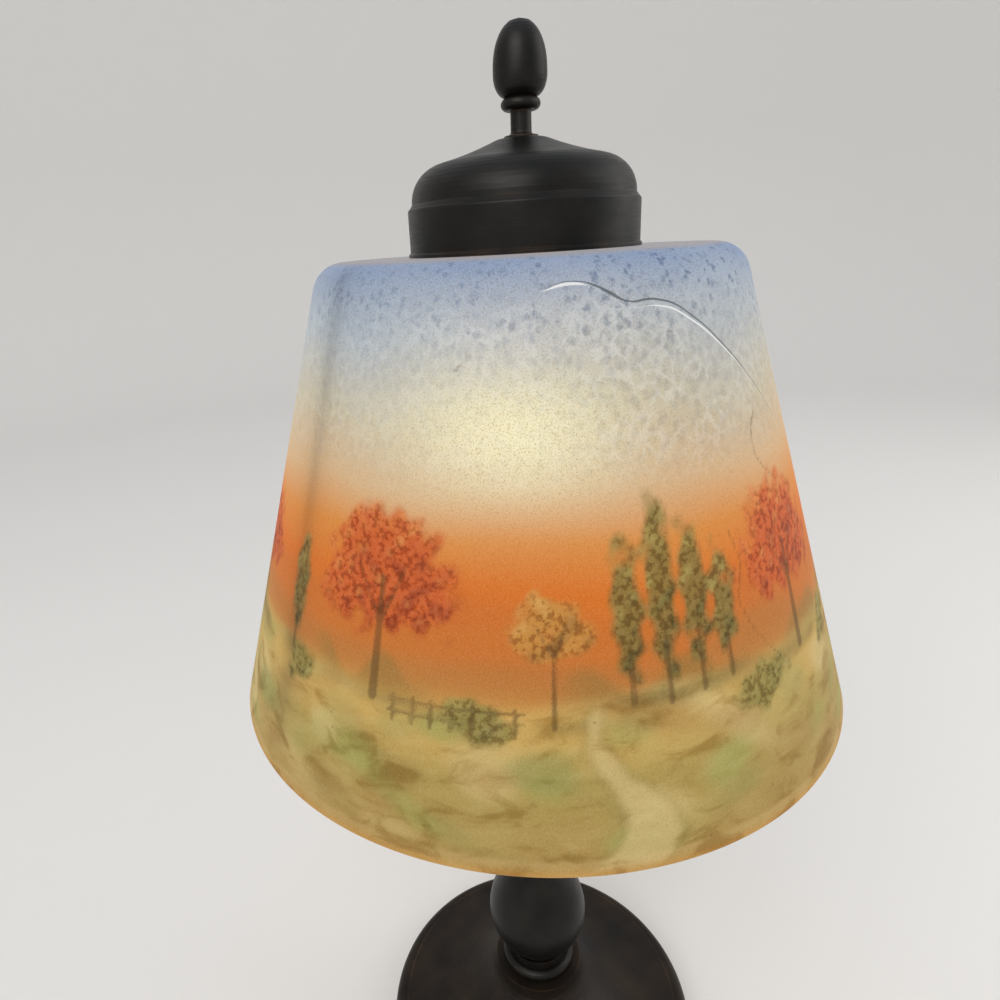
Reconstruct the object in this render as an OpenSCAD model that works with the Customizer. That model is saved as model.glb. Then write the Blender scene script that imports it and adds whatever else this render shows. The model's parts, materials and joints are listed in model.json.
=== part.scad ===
// Table lamp with a painted glass shade.
// The shade stands on a ring on top of a wire harp, under a domed cap that a finial holds down.
// The harp clips into a saddle under a key-switch socket, and a threaded pipe ties the column to the base.
// Z points up, the origin is on the table at the lamp's axis, the harp lies in the XZ plane
// and the switch key points to -Y.

/* [Shade] */
// Outside diameter of the glass at the rim
shade_rim_d = 200; // [185:1:215]
// Height of the glass from the rim to the flat top
shade_h = 136; // [128:1:145]
// Diameter at which the straight side would meet the flat top
shade_top_d = 121.5; // [112:0.5:130]
// Outside radius of the shoulder between side and top
shade_shoulder_r = 9.5; // [6:0.5:12]
// Thickness of the glass
glass_t = 3; // [2.4:0.1:4]
// Diameter of the hole in the flat top
shade_hole_d = 50; // [46:1:54]

/* [Shade cap] */
// Diameter of the skirt
cap_d = 67; // [66:0.2:76]
// Height of the skirt
cap_skirt_h = 13.2; // [10:0.2:14]
// Height of the whole cap
cap_h = 30; // [29:0.5:36]
// Diameter of the dome above the skirt
cap_dome_d = 64.4; // [58:0.2:65]
// Slope of the dome where its shoulder ends
cap_slope_low = 13; // [9:1:16]
// Slope of the dome where its crown starts
cap_slope_high = 23; // [18:1:26]
// Diameter of the flat crown
cap_crown_d = 12; // [11:0.5:15]
// Thickness of the sheet metal
cap_t = 1; // [0.6:0.1:1.4]
// Width of the lip at the foot of the skirt
cap_lip = 0.5; // [0.4:0.1:1.6]

/* [Finial] */
// Diameter of the thread on the harp's stud and the finial
thread_d = 6.35; // [6:0.05:7]
// Diameter of the neck above the cap
finial_neck_d = 5.9; // [5:0.1:7]
// Height of the neck
finial_neck_h = 7; // [4:0.5:10]
// Diameter of the foot on the cap's crown
finial_foot_d = 9.6; // [9:0.1:11]
// Diameter of the knob
finial_knob_d = 15; // [12:0.5:18]
// Height of the knob
finial_knob_h = 19; // [15:0.5:24]
// Length of the threaded shank inside the cap
finial_shank_l = 13; // [8:0.5:16]

/* [Shade carrier] */
// Diameter of the stud's collar
stud_collar_d = 11; // [9:0.5:13]
// Height of the stud's collar
stud_collar_h = 4; // [3:0.5:6]
// Diameter of the stud's shank in the harp
stud_shank_d = 5.2; // [4:0.1:6]
// Diameter of the rivet head under the harp
rivet_d = 8; // [7:0.5:9]
// Height of the rivet head
rivet_h = 1.3; // [1:0.1:2]
// Length of thread above the ring on the stud
stud_thread_l = 11; // [8:0.5:14]
// Thickness of the shade ring's sheet
ring_t = 1.2; // [0.8:0.1:2]
// Width of the ring's flange under the glass
ring_flange_w = 6; // [4:0.5:9]
// Width of each of the ring's spokes
spoke_w = 7; // [5:0.5:9]
// Number of spokes
spoke_count = 3; // [3:1:5]
// Diameter of the ring's hub
ring_hub_d = 18; // [15:0.5:22]
// Thickness of the cork gasket
gasket_t = 1; // [0.6:0.1:2]
// Diameter of the riser nut inside the cap
riser_d = 10; // [9:0.5:12]

/* [Harp] */
// Room between the bulb's top and the plate at the top of the harp
bulb_room = 11; // [9:0.5:24]
// Greatest width of the harp between wire centres
harp_w = 92; // [86:1:100]
// Diameter of the harp wire
harp_wire_d = 4; // [3.2:0.1:4.6]
// Radius of the two bends that bow each leg outward
harp_bow_r = 40; // [30:1:44]
// Radius of the bend under the plate
harp_corner_r = 14; // [10:1:18]
// Length of the flattened plate at the top
harp_plate_l = 20; // [16:1:24]
// Width of the plate
harp_plate_w = 10; // [8:0.5:12]
// Thickness of the plate
harp_plate_t = 3; // [2.5:0.1:3.5]
// Distance between the harp's two legs at the saddle
saddle_w = 50; // [48:1:56]
// Thickness of the saddle
saddle_t = 2; // [1.5:0.1:3]
// Width of the saddle strip
saddle_strip_w = 14; // [12:0.5:18]
// Height of the saddle's ears
ear_h = 11; // [8:0.5:13]
// Thickness of the saddle's ears
ear_t = 1.2; // [0.8:0.1:1.6]
// Length of each ferrule
ferrule_l = 14; // [13:0.5:17]
// Wall of each ferrule
ferrule_t = 1; // [0.8:0.1:1.4]
// Distance that a ferrule slides up
ferrule_travel = 14; // [12:0.5:18]

/* [Socket] */
// Outside diameter of the socket's shell
socket_d = 32.4; // [31.8:0.1:34]
// Height of the socket from the saddle to its rim
socket_h = 65; // [64:0.5:70]
// Thickness of the socket's sheet brass
socket_t = 0.8; // [0.5:0.1:1]
// Diameter of the hub on the lamp pipe
socket_hub_d = 17; // [15:0.5:19]
// Height of the hub
socket_hub_h = 8; // [7:0.5:10]
// Diameter of the cup above the hub
socket_cup_d = 25; // [23:0.5:27]
// Height of the ledge that carries the switch body
socket_ledge_h = 15; // [14:0.5:17]
// Height of the collar round the shell's foot
socket_collar_h = 8; // [6:0.5:9]
// Thickness of the fibre liner
liner_t = 0.7; // [0.4:0.1:0.9]
// Height of the switch body
switch_h = 20; // [18:0.5:22]
// Height of the key's axis above the ledge
key_h = 13; // [11.5:0.5:14]
// Diameter of the key's spindle
spindle_d = 4.8; // [4:0.1:5.2]
// Distance from the lamp's axis to the key's knob
key_reach = 22; // [20:0.5:26]
// Width of the key's paddle
paddle_w = 18; // [14:0.5:20]
// Length of the key's paddle
paddle_l = 15; // [12:0.5:18]
// Thickness of the key's paddle
paddle_t = 3.6; // [3:0.1:4.5]

/* [Bulb] */
// Diameter of the bulb
bulb_d = 60; // [54:1:66]
// Length of the bulb from contact to top
bulb_l = 106; // [100:1:110]
// Diameter of the bulb's screw cap
bulb_cap_d = 26.2; // [25.6:0.1:26.4]
// Height of the screw cap and contact
bulb_cap_h = 27; // [25:0.5:28]
// Diameter of the bulb's neck
bulb_neck_d = 25; // [24:0.5:25.4]
// Thickness of the bulb's glass
bulb_glass_t = 0.8; // [0.5:0.1:1.2]

/* [Base] */
// Diameter of the base
base_d = 130; // [115:1:150]
// Thickness of the felt pad
felt_t = 2; // [1:0.5:3]
// Wall of the base's foot
base_wall = 7; // [5:0.5:9]
// Thickness of metal over the hollow
base_roof_t = 3; // [2.5:0.5:5]
// Radius of the rounding on top of the foot
base_round_r = 4; // [3:0.5:6]
// Height of the sweep from the foot up to the neck
base_sweep_h = 21; // [16:1:28]
// Diameter of the neck on top of the base
base_neck_d = 36; // [32:1:42]
// Height of the neck
base_neck_h = 3; // [2:0.5:5]
// Thickness of the iron weight
weight_t = 5; // [4:0.5:8]
// Diameter of the lamp pipe
pipe_d = 10; // [9.5:0.1:10.5]
// Bore of the lamp pipe
pipe_bore_d = 7; // [6:0.1:7.5]
// Width across the flats of the nut under the base
nut_w = 15; // [14:0.5:17]
// Height of the nut
nut_h = 5; // [4:0.5:6]
// Thickness of the washer
washer_t = 1.2; // [0.8:0.1:2]
// Outside diameter of the washer
washer_d = 22.5; // [18:0.5:26]
// Outside diameter of the cord bushing's sleeve
bushing_d = 8.6; // [8:0.1:9]
// Bore of the cord bushing
bushing_bore_d = 6.4; // [6:0.1:7]
// Diameter of the bushing's flange
bushing_flange_d = 11; // [10:0.2:11.6]
// Thickness of the bushing's flange
bushing_flange_t = 2; // [1.5:0.1:3]

/* [Column] */
// Height of the collar ring on the base
collar_h = 5; // [4:0.5:7]
// Diameter of the collar ring
collar_d = 30; // [28:1:34]
// Height of the vase
vase_h = 56; // [48:1:64]
// Diameter of the vase's belly
vase_d = 40; // [34:1:46]
// Diameter of the vase's necks
vase_neck_d = 20; // [18:0.5:24]
// Height of the knop
knop_h = 10; // [8:0.5:12]
// Diameter of the knop
knop_d = 32; // [28:1:36]
// Height of the upper stem
stem_h = 42; // [36:1:50]
// Diameter of the stem at its foot
stem_foot_d = 21; // [19:0.5:24]
// Diameter of the stem at its top
stem_top_d = 16; // [15:0.5:18]
// Height of the dish under the saddle
dish_h = 9; // [7:0.5:12]
// Diameter of the dish
dish_d = 40; // [34:1:46]

/* [Fits] */
// Radial play of a thread or a turning fit
turn_play = 0.08; // [0.05:0.01:0.1]
// Gap between pieces that pass each other
slip_gap = 0.35; // [0.3:0.05:0.5]
// Radial play of the column on its pipe
pipe_play = 0.2; // [0.1:0.05:0.4]
// Gap between the ring's lip and the hole in the glass
shade_play = 0.8; // [0.4:0.1:1.2]

/* [Hidden] */
$fn = 96;
arc_steps = 10;

// How far a cut runs past the face that it opens
over = 1;

// Base, from the table up
felt_inset = 2;
weight_gap = 4;
nut_clear = 1.8;
pipe_stub = 0.8;
base_z = felt_t;
base_cavity_h = nut_clear + nut_h + washer_t + weight_t;
base_foot_h = base_cavity_h + base_roof_t;
plinth_h = base_foot_h - base_round_r;
base_step_w = 2;
base_step_h = 2;
base_h = base_foot_h + base_step_h + base_sweep_h + base_neck_h;
nut_z = base_z + nut_clear;
washer_z = nut_z + nut_h;
weight_z = washer_z + washer_t;
pipe_z = nut_z - pipe_stub;
pipe_hole_d = pipe_d + 2 * pipe_play;
bushing_z = base_z + plinth_h / 2;
bushing_sink = 1.5;
bushing_tail = 2;
bushing_seat_y = base_d / 2 - bushing_sink;
bushing_inner_y = base_d / 2 - base_wall - bushing_tail;

// Column, stacked on the base
collar_z = base_z + base_h;
vase_z = collar_z + collar_h;
knop_z = vase_z + vase_h;
stem_z = knop_z + knop_h;
dish_z = stem_z + stem_h;
saddle_z = dish_z + dish_h;
saddle_top = saddle_z + saddle_t;

// Socket, from the saddle up
ledge_z = saddle_top + socket_ledge_h;
socket_r = socket_d / 2;
collar_in_r = socket_r + slip_gap / 3;
collar_r = collar_in_r + socket_t;
shell_in_r = socket_r - socket_t;
liner_r = shell_in_r - slip_gap;
switch_r = liner_r - liner_t - slip_gap;
screw_shell_in_r = bulb_cap_d / 2 + slip_gap;
screw_shell_t = 0.5;
screw_shell_drop = 2;
liner_drop = 1;
set_screw_r = 1.5;
set_screw_proud = 1;
set_screw_z = (socket_hub_h - socket_t) / 2;
key_z = ledge_z + key_h;
switch_top = ledge_z + switch_h;
contact_h = 2;
contact_d = 9;
screw_shell_h = socket_h - socket_ledge_h - switch_h - screw_shell_drop;
spindle_r = spindle_d / 2;
rotor_wall = 2;
rotor_r = spindle_r + rotor_wall;
rotor_end_gap = 0.4;
chamber_gap = 1.2;
chamber_r = rotor_r + chamber_gap;
chamber_y = [-5, 6];
tail_d = 3.2;
tail_l = 3.5;
spindle_in_knob = 6;
blade_t = 0.4;
blade_w = 3;
blade_gap = 0.05;
blade_top = key_z + sqrt(pow(chamber_r, 2) - pow(blade_w / 2, 2)) - blade_gap;
contact_rivet_r = 1.2;
contact_rivet_play = 0.1;
terminal_inset = 7;
terminal_x = switch_r - terminal_inset;
terminal_r = 1.5;
terminal_l = 3;
terminal_head_r = 3;
terminal_head_h = 2;
pipe_short = 1;
pipe_top = saddle_top + socket_hub_h - pipe_short;

// Bulb, standing on the centre contact
bulb_z = switch_top + contact_h;
bulb_contact_h = 1.5;
bulb_insulator_h = 3;
bulb_blend_a = 45;
bulb_r = bulb_d / 2;
neck_r = bulb_neck_d / 2;
neck_blend_r = (bulb_r * cos(bulb_blend_a) - neck_r) / (1 - cos(bulb_blend_a));
globe_z = bulb_l - bulb_r;
neck_top = globe_z - (bulb_r + neck_blend_r) * sin(bulb_blend_a);

// Harp: legs, two bends outward, a long bend inward and a corner under the plate
leg_x = saddle_w / 2;
wire_r = harp_wire_d / 2;
seam_t = 0.05;
leg_spare = 2;
leg_h = ferrule_l + ferrule_travel + leg_spare;
bow_x = harp_w / 2;
bow_a = acos(1 - (bow_x - leg_x) / (2 * harp_bow_r));
bow_z = saddle_top + leg_h + 2 * harp_bow_r * sin(bow_a);
harp_top = bulb_z + bulb_l + bulb_room + harp_plate_t;
plate_z = harp_top - harp_plate_t;
wire_top_z = harp_top - harp_plate_t / 2;
wire_lap = 1;
wire_end_x = harp_plate_l / 2 - wire_lap;
side_rise = wire_top_z - bow_z - harp_corner_r;
side_run = bow_x - wire_end_x - harp_corner_r;
side_a = 2 * atan(side_run / side_rise);
side_reach = side_rise / sin(side_a);
side_r = side_reach + harp_corner_r;
ear_in_r = wire_r + turn_play;
ear_r = ear_in_r + ear_t;
ferrule_in_r = ear_r + slip_gap;
ferrule_r = ferrule_in_r + ferrule_t;

// Shade carrier and shade, from the harp's plate up
thread_r = thread_d / 2;
bore_r = thread_r + turn_play;
ring_z = harp_top + stud_collar_h;
gasket_z = ring_z + ring_t;
shade_top = gasket_z + gasket_t + glass_t;
shade_rim = shade_top - shade_h;
hole_r = shade_hole_d / 2;
ring_r = hole_r + ring_flange_w;
lip_r = hole_r - shade_play;
lip_t = 1.2;
lip_drop = 0.6;
lip_top = shade_top - lip_drop;
crown_z = shade_top + cap_h;
riser_z = gasket_z;
riser_gap = 1;
riser_top = crown_z - cap_t - riser_gap;
shank_z = crown_z - finial_shank_l;
side_slope = atan((shade_rim_d - shade_top_d) / 2 / shade_h);

// Points of an arc about a centre, from one angle to another
function arc(c, r, from, to, n = arc_steps) =
    [for (i = [0:n]) let (a = from + (to - from) * i / n) c + r * [cos(a), sin(a)]];

// Direction to the left of the way from a to b
function left_of(a, b) = let (d = (b - a) / norm(b - a)) [-d[1], d[0]];

// A path moved to its left by t, with mitred corners
function beside(path, t) = [
    for (i = [0:len(path) - 1])
        let (
            before = left_of(path[max(i - 1, 0)], path[max(i, 1)]),
            last = len(path) - 1,
            after = left_of(path[min(i, last - 1)], path[min(i + 1, last)]),
            mid = (before + after) / norm(before + after)
        )
        path[i] + mid * t / (mid * before)
];

function backward(path) = [for (i = [len(path) - 1:-1:0]) path[i]];

// Quarter of an ellipse that leaves a level and arrives upright
function sweep_up(from, to, n = 16) =
    [for (i = [0:n]) let (a = 90 * i / n)
        [from[0] + (to[0] - from[0]) * sin(a), from[1] + (to[1] - from[1]) * (1 - cos(a))]];

// A path without the points that two joined stretches share
function single(path) = [
    for (i = [0:len(path) - 1]) if (i == 0 || norm(path[i] - path[i - 1]) > 0.001) path[i]
];

// Round piece turned from an outline of radius and height
module turned(outline) {
    rotate_extrude() polygon(single(outline));
}

// Pressed sheet of even thickness, with the path on its outside
module pressed(path, t) {
    outside = single(path);
    turned(concat(outside, backward(beside(outside, t))));
}

// Ring or tube with a square section
module tube(outer_r, inner_r, h) {
    turned([[inner_r, 0], [outer_r, 0], [outer_r, h], [inner_r, h]]);
}

// Strip with round ends, centred on the axis
module strip(length, width, t) {
    linear_extrude(t) {
        square([length - width, width], center = true);
        for (side = [-1, 1]) translate([side * (length - width) / 2, 0]) circle(d = width);
    }
}

// Cylinder along -Y, from a distance in front of the lamp's axis to a further one
module along_key(r, near, far) {
    translate([0, -near, key_z]) rotate([90, 0, 0]) cylinder(r = r, h = far - near);
}

// Felt under the base, just short of its edge
module felt_pad() {
    color("darkolivegreen") cylinder(d = base_d - 2 * felt_inset, h = felt_t);
}

// Cast base: foot with a rounded top, a step and a sweep up to the neck
module base() {
    r = base_d / 2;
    cavity_r = r - base_wall;
    bore = pipe_hole_d / 2;
    step_r = r - base_round_r - base_step_w;
    color([0.17, 0.14, 0.12]) translate([0, 0, base_z]) difference() {
        turned(concat(
            [[bore, base_cavity_h], [cavity_r, base_cavity_h], [cavity_r, 0], [r, 0]],
            arc([r - base_round_r, plinth_h], base_round_r, 0, 90),
            [[step_r, base_foot_h]],
            sweep_up([step_r, base_foot_h + base_step_h], [base_neck_d / 2, base_h - base_neck_h]),
            [[base_neck_d / 2, base_h], [bore, base_h]]
        ));
        translate([0, bushing_seat_y, bushing_z - base_z]) rotate([-90, 0, 0])
            cylinder(d = bushing_flange_d + 2 * slip_gap, h = base_wall);
        translate([0, bushing_inner_y, bushing_z - base_z]) rotate([-90, 0, 0])
            cylinder(d = bushing_d + 2 * turn_play, h = base_wall + 2 * bushing_tail);
    }
}

// Iron ring that keeps the lamp upright
module base_weight() {
    weight_r = base_d / 2 - base_wall - weight_gap;
    color("dimgray") translate([0, 0, weight_z]) tube(weight_r, pipe_hole_d / 2, weight_t);
}

module bottom_washer() {
    color("silver") translate([0, 0, washer_z]) tube(washer_d / 2, pipe_hole_d / 2, washer_t);
}

module bottom_nut() {
    color("darkgoldenrod") translate([0, 0, nut_z]) difference() {
        cylinder(d = nut_w / cos(30), h = nut_h, $fn = 6);
        translate([0, 0, -over]) cylinder(r = pipe_d / 2 + turn_play, h = nut_h + 2 * over);
    }
}

// Sleeve that lines the cord's way into the back of the base
module cord_bushing() {
    sleeve_l = bushing_seat_y - bushing_inner_y;
    color("black") translate([0, bushing_inner_y, bushing_z]) rotate([-90, 0, 0]) turned([
        [bushing_bore_d / 2, 0],
        [bushing_d / 2, 0],
        [bushing_d / 2, sleeve_l],
        [bushing_flange_d / 2, sleeve_l],
        [bushing_flange_d / 2, sleeve_l + bushing_flange_t],
        [bushing_bore_d / 2, sleeve_l + bushing_flange_t]
    ]);
}

module lamp_pipe() {
    color("darkgoldenrod") translate([0, 0, pipe_z]) tube(pipe_d / 2, pipe_bore_d / 2, pipe_top - pipe_z);
}

// Half-round ring between base and vase
module collar_ring() {
    bead_r = collar_h / 2;
    color([0.2, 0.16, 0.13]) translate([0, 0, collar_z]) turned(concat(
        [[pipe_hole_d / 2, 0]],
        arc([collar_d / 2 - bead_r, bead_r], bead_r, -90, 90),
        [[pipe_hole_d / 2, collar_h]]
    ));
}

// Vase with a belly below its middle and a fillet at each end
module vase() {
    fillet_h = 3;
    fillet_w = 2;
    belly_at = 0.4;
    skew = ln(0.5) / ln(belly_at);
    fullness = 1.3;
    steps = 28;
    neck = vase_neck_d / 2;
    span = vase_h - 2 * fillet_h;
    color([0.17, 0.14, 0.12]) translate([0, 0, vase_z]) turned(concat(
        [[pipe_hole_d / 2, 0], [neck + fillet_w, 0], [neck + fillet_w, fillet_h]],
        [for (i = [0:steps]) let (t = i / steps, swell = pow(sin(180 * pow(t, skew)), fullness))
            [neck + (vase_d / 2 - neck) * swell, fillet_h + span * t]],
        [[neck + fillet_w, vase_h - fillet_h], [neck + fillet_w, vase_h], [pipe_hole_d / 2, vase_h]]
    ));
}

// Cushion-shaped ring between vase and stem
module knop() {
    edge_h = 1.5;
    bead_r = (knop_h - 2 * edge_h) / 2;
    edge_r = knop_d / 2 - bead_r;
    color([0.2, 0.16, 0.13]) translate([0, 0, knop_z]) turned(concat(
        [[pipe_hole_d / 2, 0], [edge_r, 0], [edge_r, edge_h]],
        arc([edge_r, knop_h / 2], bead_r, -90, 90),
        [[edge_r, knop_h], [pipe_hole_d / 2, knop_h]]
    ));
}

// Stem that tapers in a slow curve
module stem() {
    steps = 16;
    foot = stem_foot_d / 2;
    top = stem_top_d / 2;
    color([0.17, 0.14, 0.12]) translate([0, 0, stem_z]) turned(concat(
        [[pipe_hole_d / 2, 0]],
        [for (i = [0:steps]) [top + (foot - top) * pow(1 - i / steps, 2), stem_h * i / steps]],
        [[pipe_hole_d / 2, stem_h]]
    ));
}

// Dish that spreads the stem's top under the saddle
module dish() {
    edge_h = 2;
    color([0.2, 0.16, 0.13]) translate([0, 0, dish_z]) turned(concat(
        [[pipe_hole_d / 2, 0]],
        backward(sweep_up([dish_d / 2, dish_h - edge_h], [stem_top_d / 2, 0])),
        [[dish_d / 2, dish_h], [pipe_hole_d / 2, dish_h]]
    ));
}

// Strip under the socket with a half-round ear outside each leg of the harp
module harp_saddle() {
    strip_l = saddle_w + saddle_strip_w;
    color("darkgoldenrod") {
        translate([0, 0, saddle_z]) difference() {
            strip(strip_l, saddle_strip_w, saddle_t);
            translate([0, 0, -over]) cylinder(d = pipe_hole_d, h = saddle_t + 2 * over);
        }
        for (side = [-1, 1]) translate([side * leg_x, 0, saddle_top]) intersection() {
            tube(ear_r, ear_in_r, ear_h);
            translate([side * ear_r, 0, ear_h / 2]) cube([2 * ear_r, 4 * ear_r, 2 * ear_h], center = true);
        }
    }
}

// Bend of the harp wire about a point in the XZ plane
module bend(x, z, r, from, to) {
    translate([x, 0, z]) rotate([90, 0, 0]) rotate([0, 0, from]) rotate_extrude(angle = to - from)
        translate([r, 0]) circle(r = wire_r);
}

// Ball a hair wider than the wire, which closes the seam between two bends
module seam(x, z) {
    translate([x, 0, z]) sphere(r = wire_r + seam_t);
}

// Right half of the harp's wire, from the saddle to the plate
module harp_side() {
    leg_top = saddle_top + leg_h;
    bow_mid_z = (leg_top + bow_z) / 2;
    translate([leg_x, 0, saddle_top]) cylinder(r = wire_r, h = leg_h);
    seam(leg_x, leg_top);
    bend(leg_x + harp_bow_r, leg_top, harp_bow_r, 180 - bow_a, 180);
    seam((leg_x + bow_x) / 2, bow_mid_z);
    bend(bow_x - harp_bow_r, bow_z, harp_bow_r, -bow_a, 0);
    seam(bow_x, bow_z);
    bend(bow_x - side_r, bow_z, side_r, 0, side_a);
    seam(bow_x - side_r * (1 - cos(side_a)), bow_z + side_r * sin(side_a));
    bend(wire_end_x, wire_top_z - harp_corner_r, harp_corner_r, side_a, 90);
}

// Wire bow with a flattened plate at its top, where the stud turns
module harp() {
    color("goldenrod") difference() {
        union() {
            translate([0, 0, plate_z]) strip(harp_plate_l, harp_plate_w, harp_plate_t);
            harp_side();
            mirror([1, 0, 0]) harp_side();
        }
        translate([0, 0, plate_z - over])
            cylinder(r = stud_shank_d / 2 + turn_play, h = harp_plate_t + 2 * over);
    }
}

// Sleeve that locks one leg of the harp to its ear, with a rolled foot
module ferrule(side) {
    foot_h = 2;
    foot_w = 0.5;
    color("goldenrod") translate([side * leg_x, 0, saddle_top]) turned([
        [ferrule_in_r, 0],
        [ferrule_r + foot_w, 0],
        [ferrule_r + foot_w, foot_h],
        [ferrule_r, foot_h + foot_w],
        [ferrule_r, ferrule_l],
        [ferrule_in_r, ferrule_l]
    ]);
}

module ferrule_left() {
    ferrule(-1);
}

module ferrule_right() {
    ferrule(1);
}

// Stepped brass cup that screws on the pipe and carries everything in the socket
module socket_cap() {
    hub_r = socket_hub_d / 2;
    hub_bore = pipe_d / 2 + turn_play;
    cup_r = socket_cup_d / 2;
    cup_round = 2;
    ledge_round = 1.2;
    hub_top = socket_hub_h - socket_t;
    under = socket_ledge_h - socket_t;
    top = socket_ledge_h + socket_collar_h;
    color("goldenrod") translate([0, 0, saddle_top]) difference() {
        turned(concat(
            [[hub_bore, 0], [hub_r, 0], [hub_r, hub_top]],
            arc([cup_r - cup_round, hub_top + cup_round], cup_round, -90, 0, 6),
            [[cup_r, under]],
            arc([collar_r - ledge_round, under + ledge_round], ledge_round, -90, 0, 6),
            [[collar_r, top], [collar_in_r, top], [collar_in_r, socket_ledge_h]],
            [[cup_r - socket_t, socket_ledge_h], [cup_r - socket_t, socket_hub_h], [hub_bore, socket_hub_h]]
        ));
        translate([0, 0, set_screw_z]) rotate([-90, 0, 0])
            cylinder(r = set_screw_r + turn_play, h = socket_hub_d);
    }
}

// Screw in the hub that stops the socket turning on the pipe
module socket_set_screw() {
    color("silver") translate([0, pipe_d / 2, saddle_top + set_screw_z])
        rotate([-90, 0, 0]) cylinder(r = set_screw_r, h = (socket_hub_d - pipe_d) / 2 + set_screw_proud);
}

// Slot for the key, from the foot of the shell or liner to above the spindle
module key_slot(foot) {
    slot_gap = 1;
    slot_r = spindle_r + slot_gap;
    translate([-slot_r, -socket_d, foot - over]) cube([2 * slot_r, socket_d, key_z - foot + over]);
    along_key(slot_r, 0, socket_d);
}

// Outer brass shell with a rolled bead at the rim
module socket_shell() {
    h = saddle_top + socket_h - ledge_z;
    bead_h = 1.4;
    bead_r = 1;
    bead_sink = 0.2;
    color("goldenrod") difference() {
        translate([0, 0, ledge_z]) turned(concat(
            [[shell_in_r, 0], [socket_r, 0], [socket_r, h - 2 * bead_h]],
            arc([socket_r - bead_sink, h - bead_h], bead_r, -60, 60, 8),
            [[socket_r - socket_t / 2, h], [shell_in_r, h]]
        ));
        key_slot(ledge_z);
    }
}

// Fibre sleeve between the shell and the live parts
module socket_liner() {
    color("saddlebrown") difference() {
        translate([0, 0, ledge_z]) tube(liner_r, liner_r - liner_t, socket_h - socket_ledge_h - liner_drop);
        key_slot(ledge_z);
    }
}

// Block that holds the switch, with a chamber open below for the rotor
module switch_body() {
    notch = 9;
    color("ivory") difference() {
        translate([0, 0, ledge_z]) cylinder(r = switch_r, h = switch_h);
        along_key(chamber_r, -chamber_y[1], -chamber_y[0]);
        translate([-chamber_r, chamber_y[0], ledge_z - over])
            cube([2 * chamber_r, chamber_y[1] - chamber_y[0], key_z - ledge_z + over]);
        along_key(spindle_r + turn_play, -chamber_y[0] - over, socket_d);
        along_key(tail_d / 2 + turn_play, -chamber_y[1] - tail_l, -chamber_y[1] + over);
        translate([0, 0, key_z]) cylinder(r = contact_rivet_r + contact_rivet_play, h = socket_h);
        for (side = [-1, 1]) translate([side * terminal_x, 0, key_z]) {
            translate([side * (terminal_l + switch_r / 2), 0, 0])
                cube([switch_r, notch, notch], center = true);
            rotate([0, side * 90, 0]) cylinder(r = terminal_r + turn_play, h = switch_r);
        }
    }
}

// Two screws that take the cord's wires, one on each side
module terminal_screws() {
    color("goldenrod") for (side = [-1, 1])
        translate([side * terminal_x, 0, key_z]) rotate([0, side * 90, 0]) {
            cylinder(r = terminal_r, h = terminal_l);
            translate([0, 0, terminal_l]) cylinder(r = terminal_head_r, h = terminal_head_h);
        }
}

// Leaf in the roof of the chamber that the rotor presses
module switch_blade() {
    end_gap = 0.5;
    blade_l = chamber_y[1] - chamber_y[0] - 2 * end_gap;
    translate([0, (chamber_y[0] + chamber_y[1]) / 2, blade_top - blade_t / 2])
        color("peru") cube([blade_w, blade_l, blade_t], center = true);
}

// Rivet and springy disc under the bulb's contact
module centre_contact() {
    color("peru") turned([
        [0, blade_top],
        [contact_rivet_r, blade_top],
        [contact_rivet_r, switch_top],
        [contact_d / 4, switch_top],
        [contact_d / 4, switch_top + contact_h / 3],
        [contact_d / 2, switch_top + contact_h * 2 / 3],
        [contact_d / 2, bulb_z],
        [0, bulb_z]
    ]);
}

// Brass sleeve that takes the bulb's screw cap
module screw_shell() {
    color("gold") translate([0, 0, switch_top])
        tube(screw_shell_in_r + screw_shell_t, screw_shell_in_r, screw_shell_h);
}

// Two-sided cam on the spindle
module switch_rotor() {
    cam_h = 1.3 * spindle_d;
    near = -chamber_y[1] + rotor_end_gap;
    far = -chamber_y[0] - rotor_end_gap;
    color("saddlebrown") difference() {
        intersection() {
            along_key(rotor_r, near, far);
            translate([0, -(near + far) / 2, key_z])
                cube([3 * rotor_r, far - near + over, cam_h], center = true);
        }
        along_key(spindle_r + turn_play / 2, near - over, far + over);
    }
}

// Spindle from the tail behind the chamber to inside the knob
module key_spindle() {
    near = -chamber_y[1] + rotor_end_gap;
    color("goldenrod") {
        along_key(spindle_r, near, key_reach + spindle_in_knob);
        along_key(tail_d / 2, near - tail_l, near);
    }
}

// Flat paddle with round corners on a boss
module key_knob() {
    boss_wall = 1.8;
    boss_r = spindle_r + boss_wall;
    boss_l = spindle_in_knob + 1;
    paddle_lap = 5;
    corner_r = paddle_t;
    color([0.1, 0.08, 0.07]) difference() {
        union() {
            along_key(boss_r, key_reach, key_reach + boss_l);
            translate([-paddle_t / 2, -key_reach - paddle_lap, key_z])
                rotate([90, 0, 90]) linear_extrude(paddle_t) {
                    translate([-paddle_l, -paddle_w / 2 + corner_r])
                        square([paddle_l, paddle_w - 2 * corner_r]);
                    translate([corner_r - paddle_l, -paddle_w / 2])
                        square([paddle_l - 2 * corner_r, paddle_w]);
                    for (x = [-corner_r, corner_r - paddle_l], y = [-1, 1])
                        translate([x, y * (paddle_w / 2 - corner_r)]) circle(r = corner_r);
                }
        }
        along_key(spindle_r + turn_play / 2, key_reach - over, key_reach + spindle_in_knob);
    }
}

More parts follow.
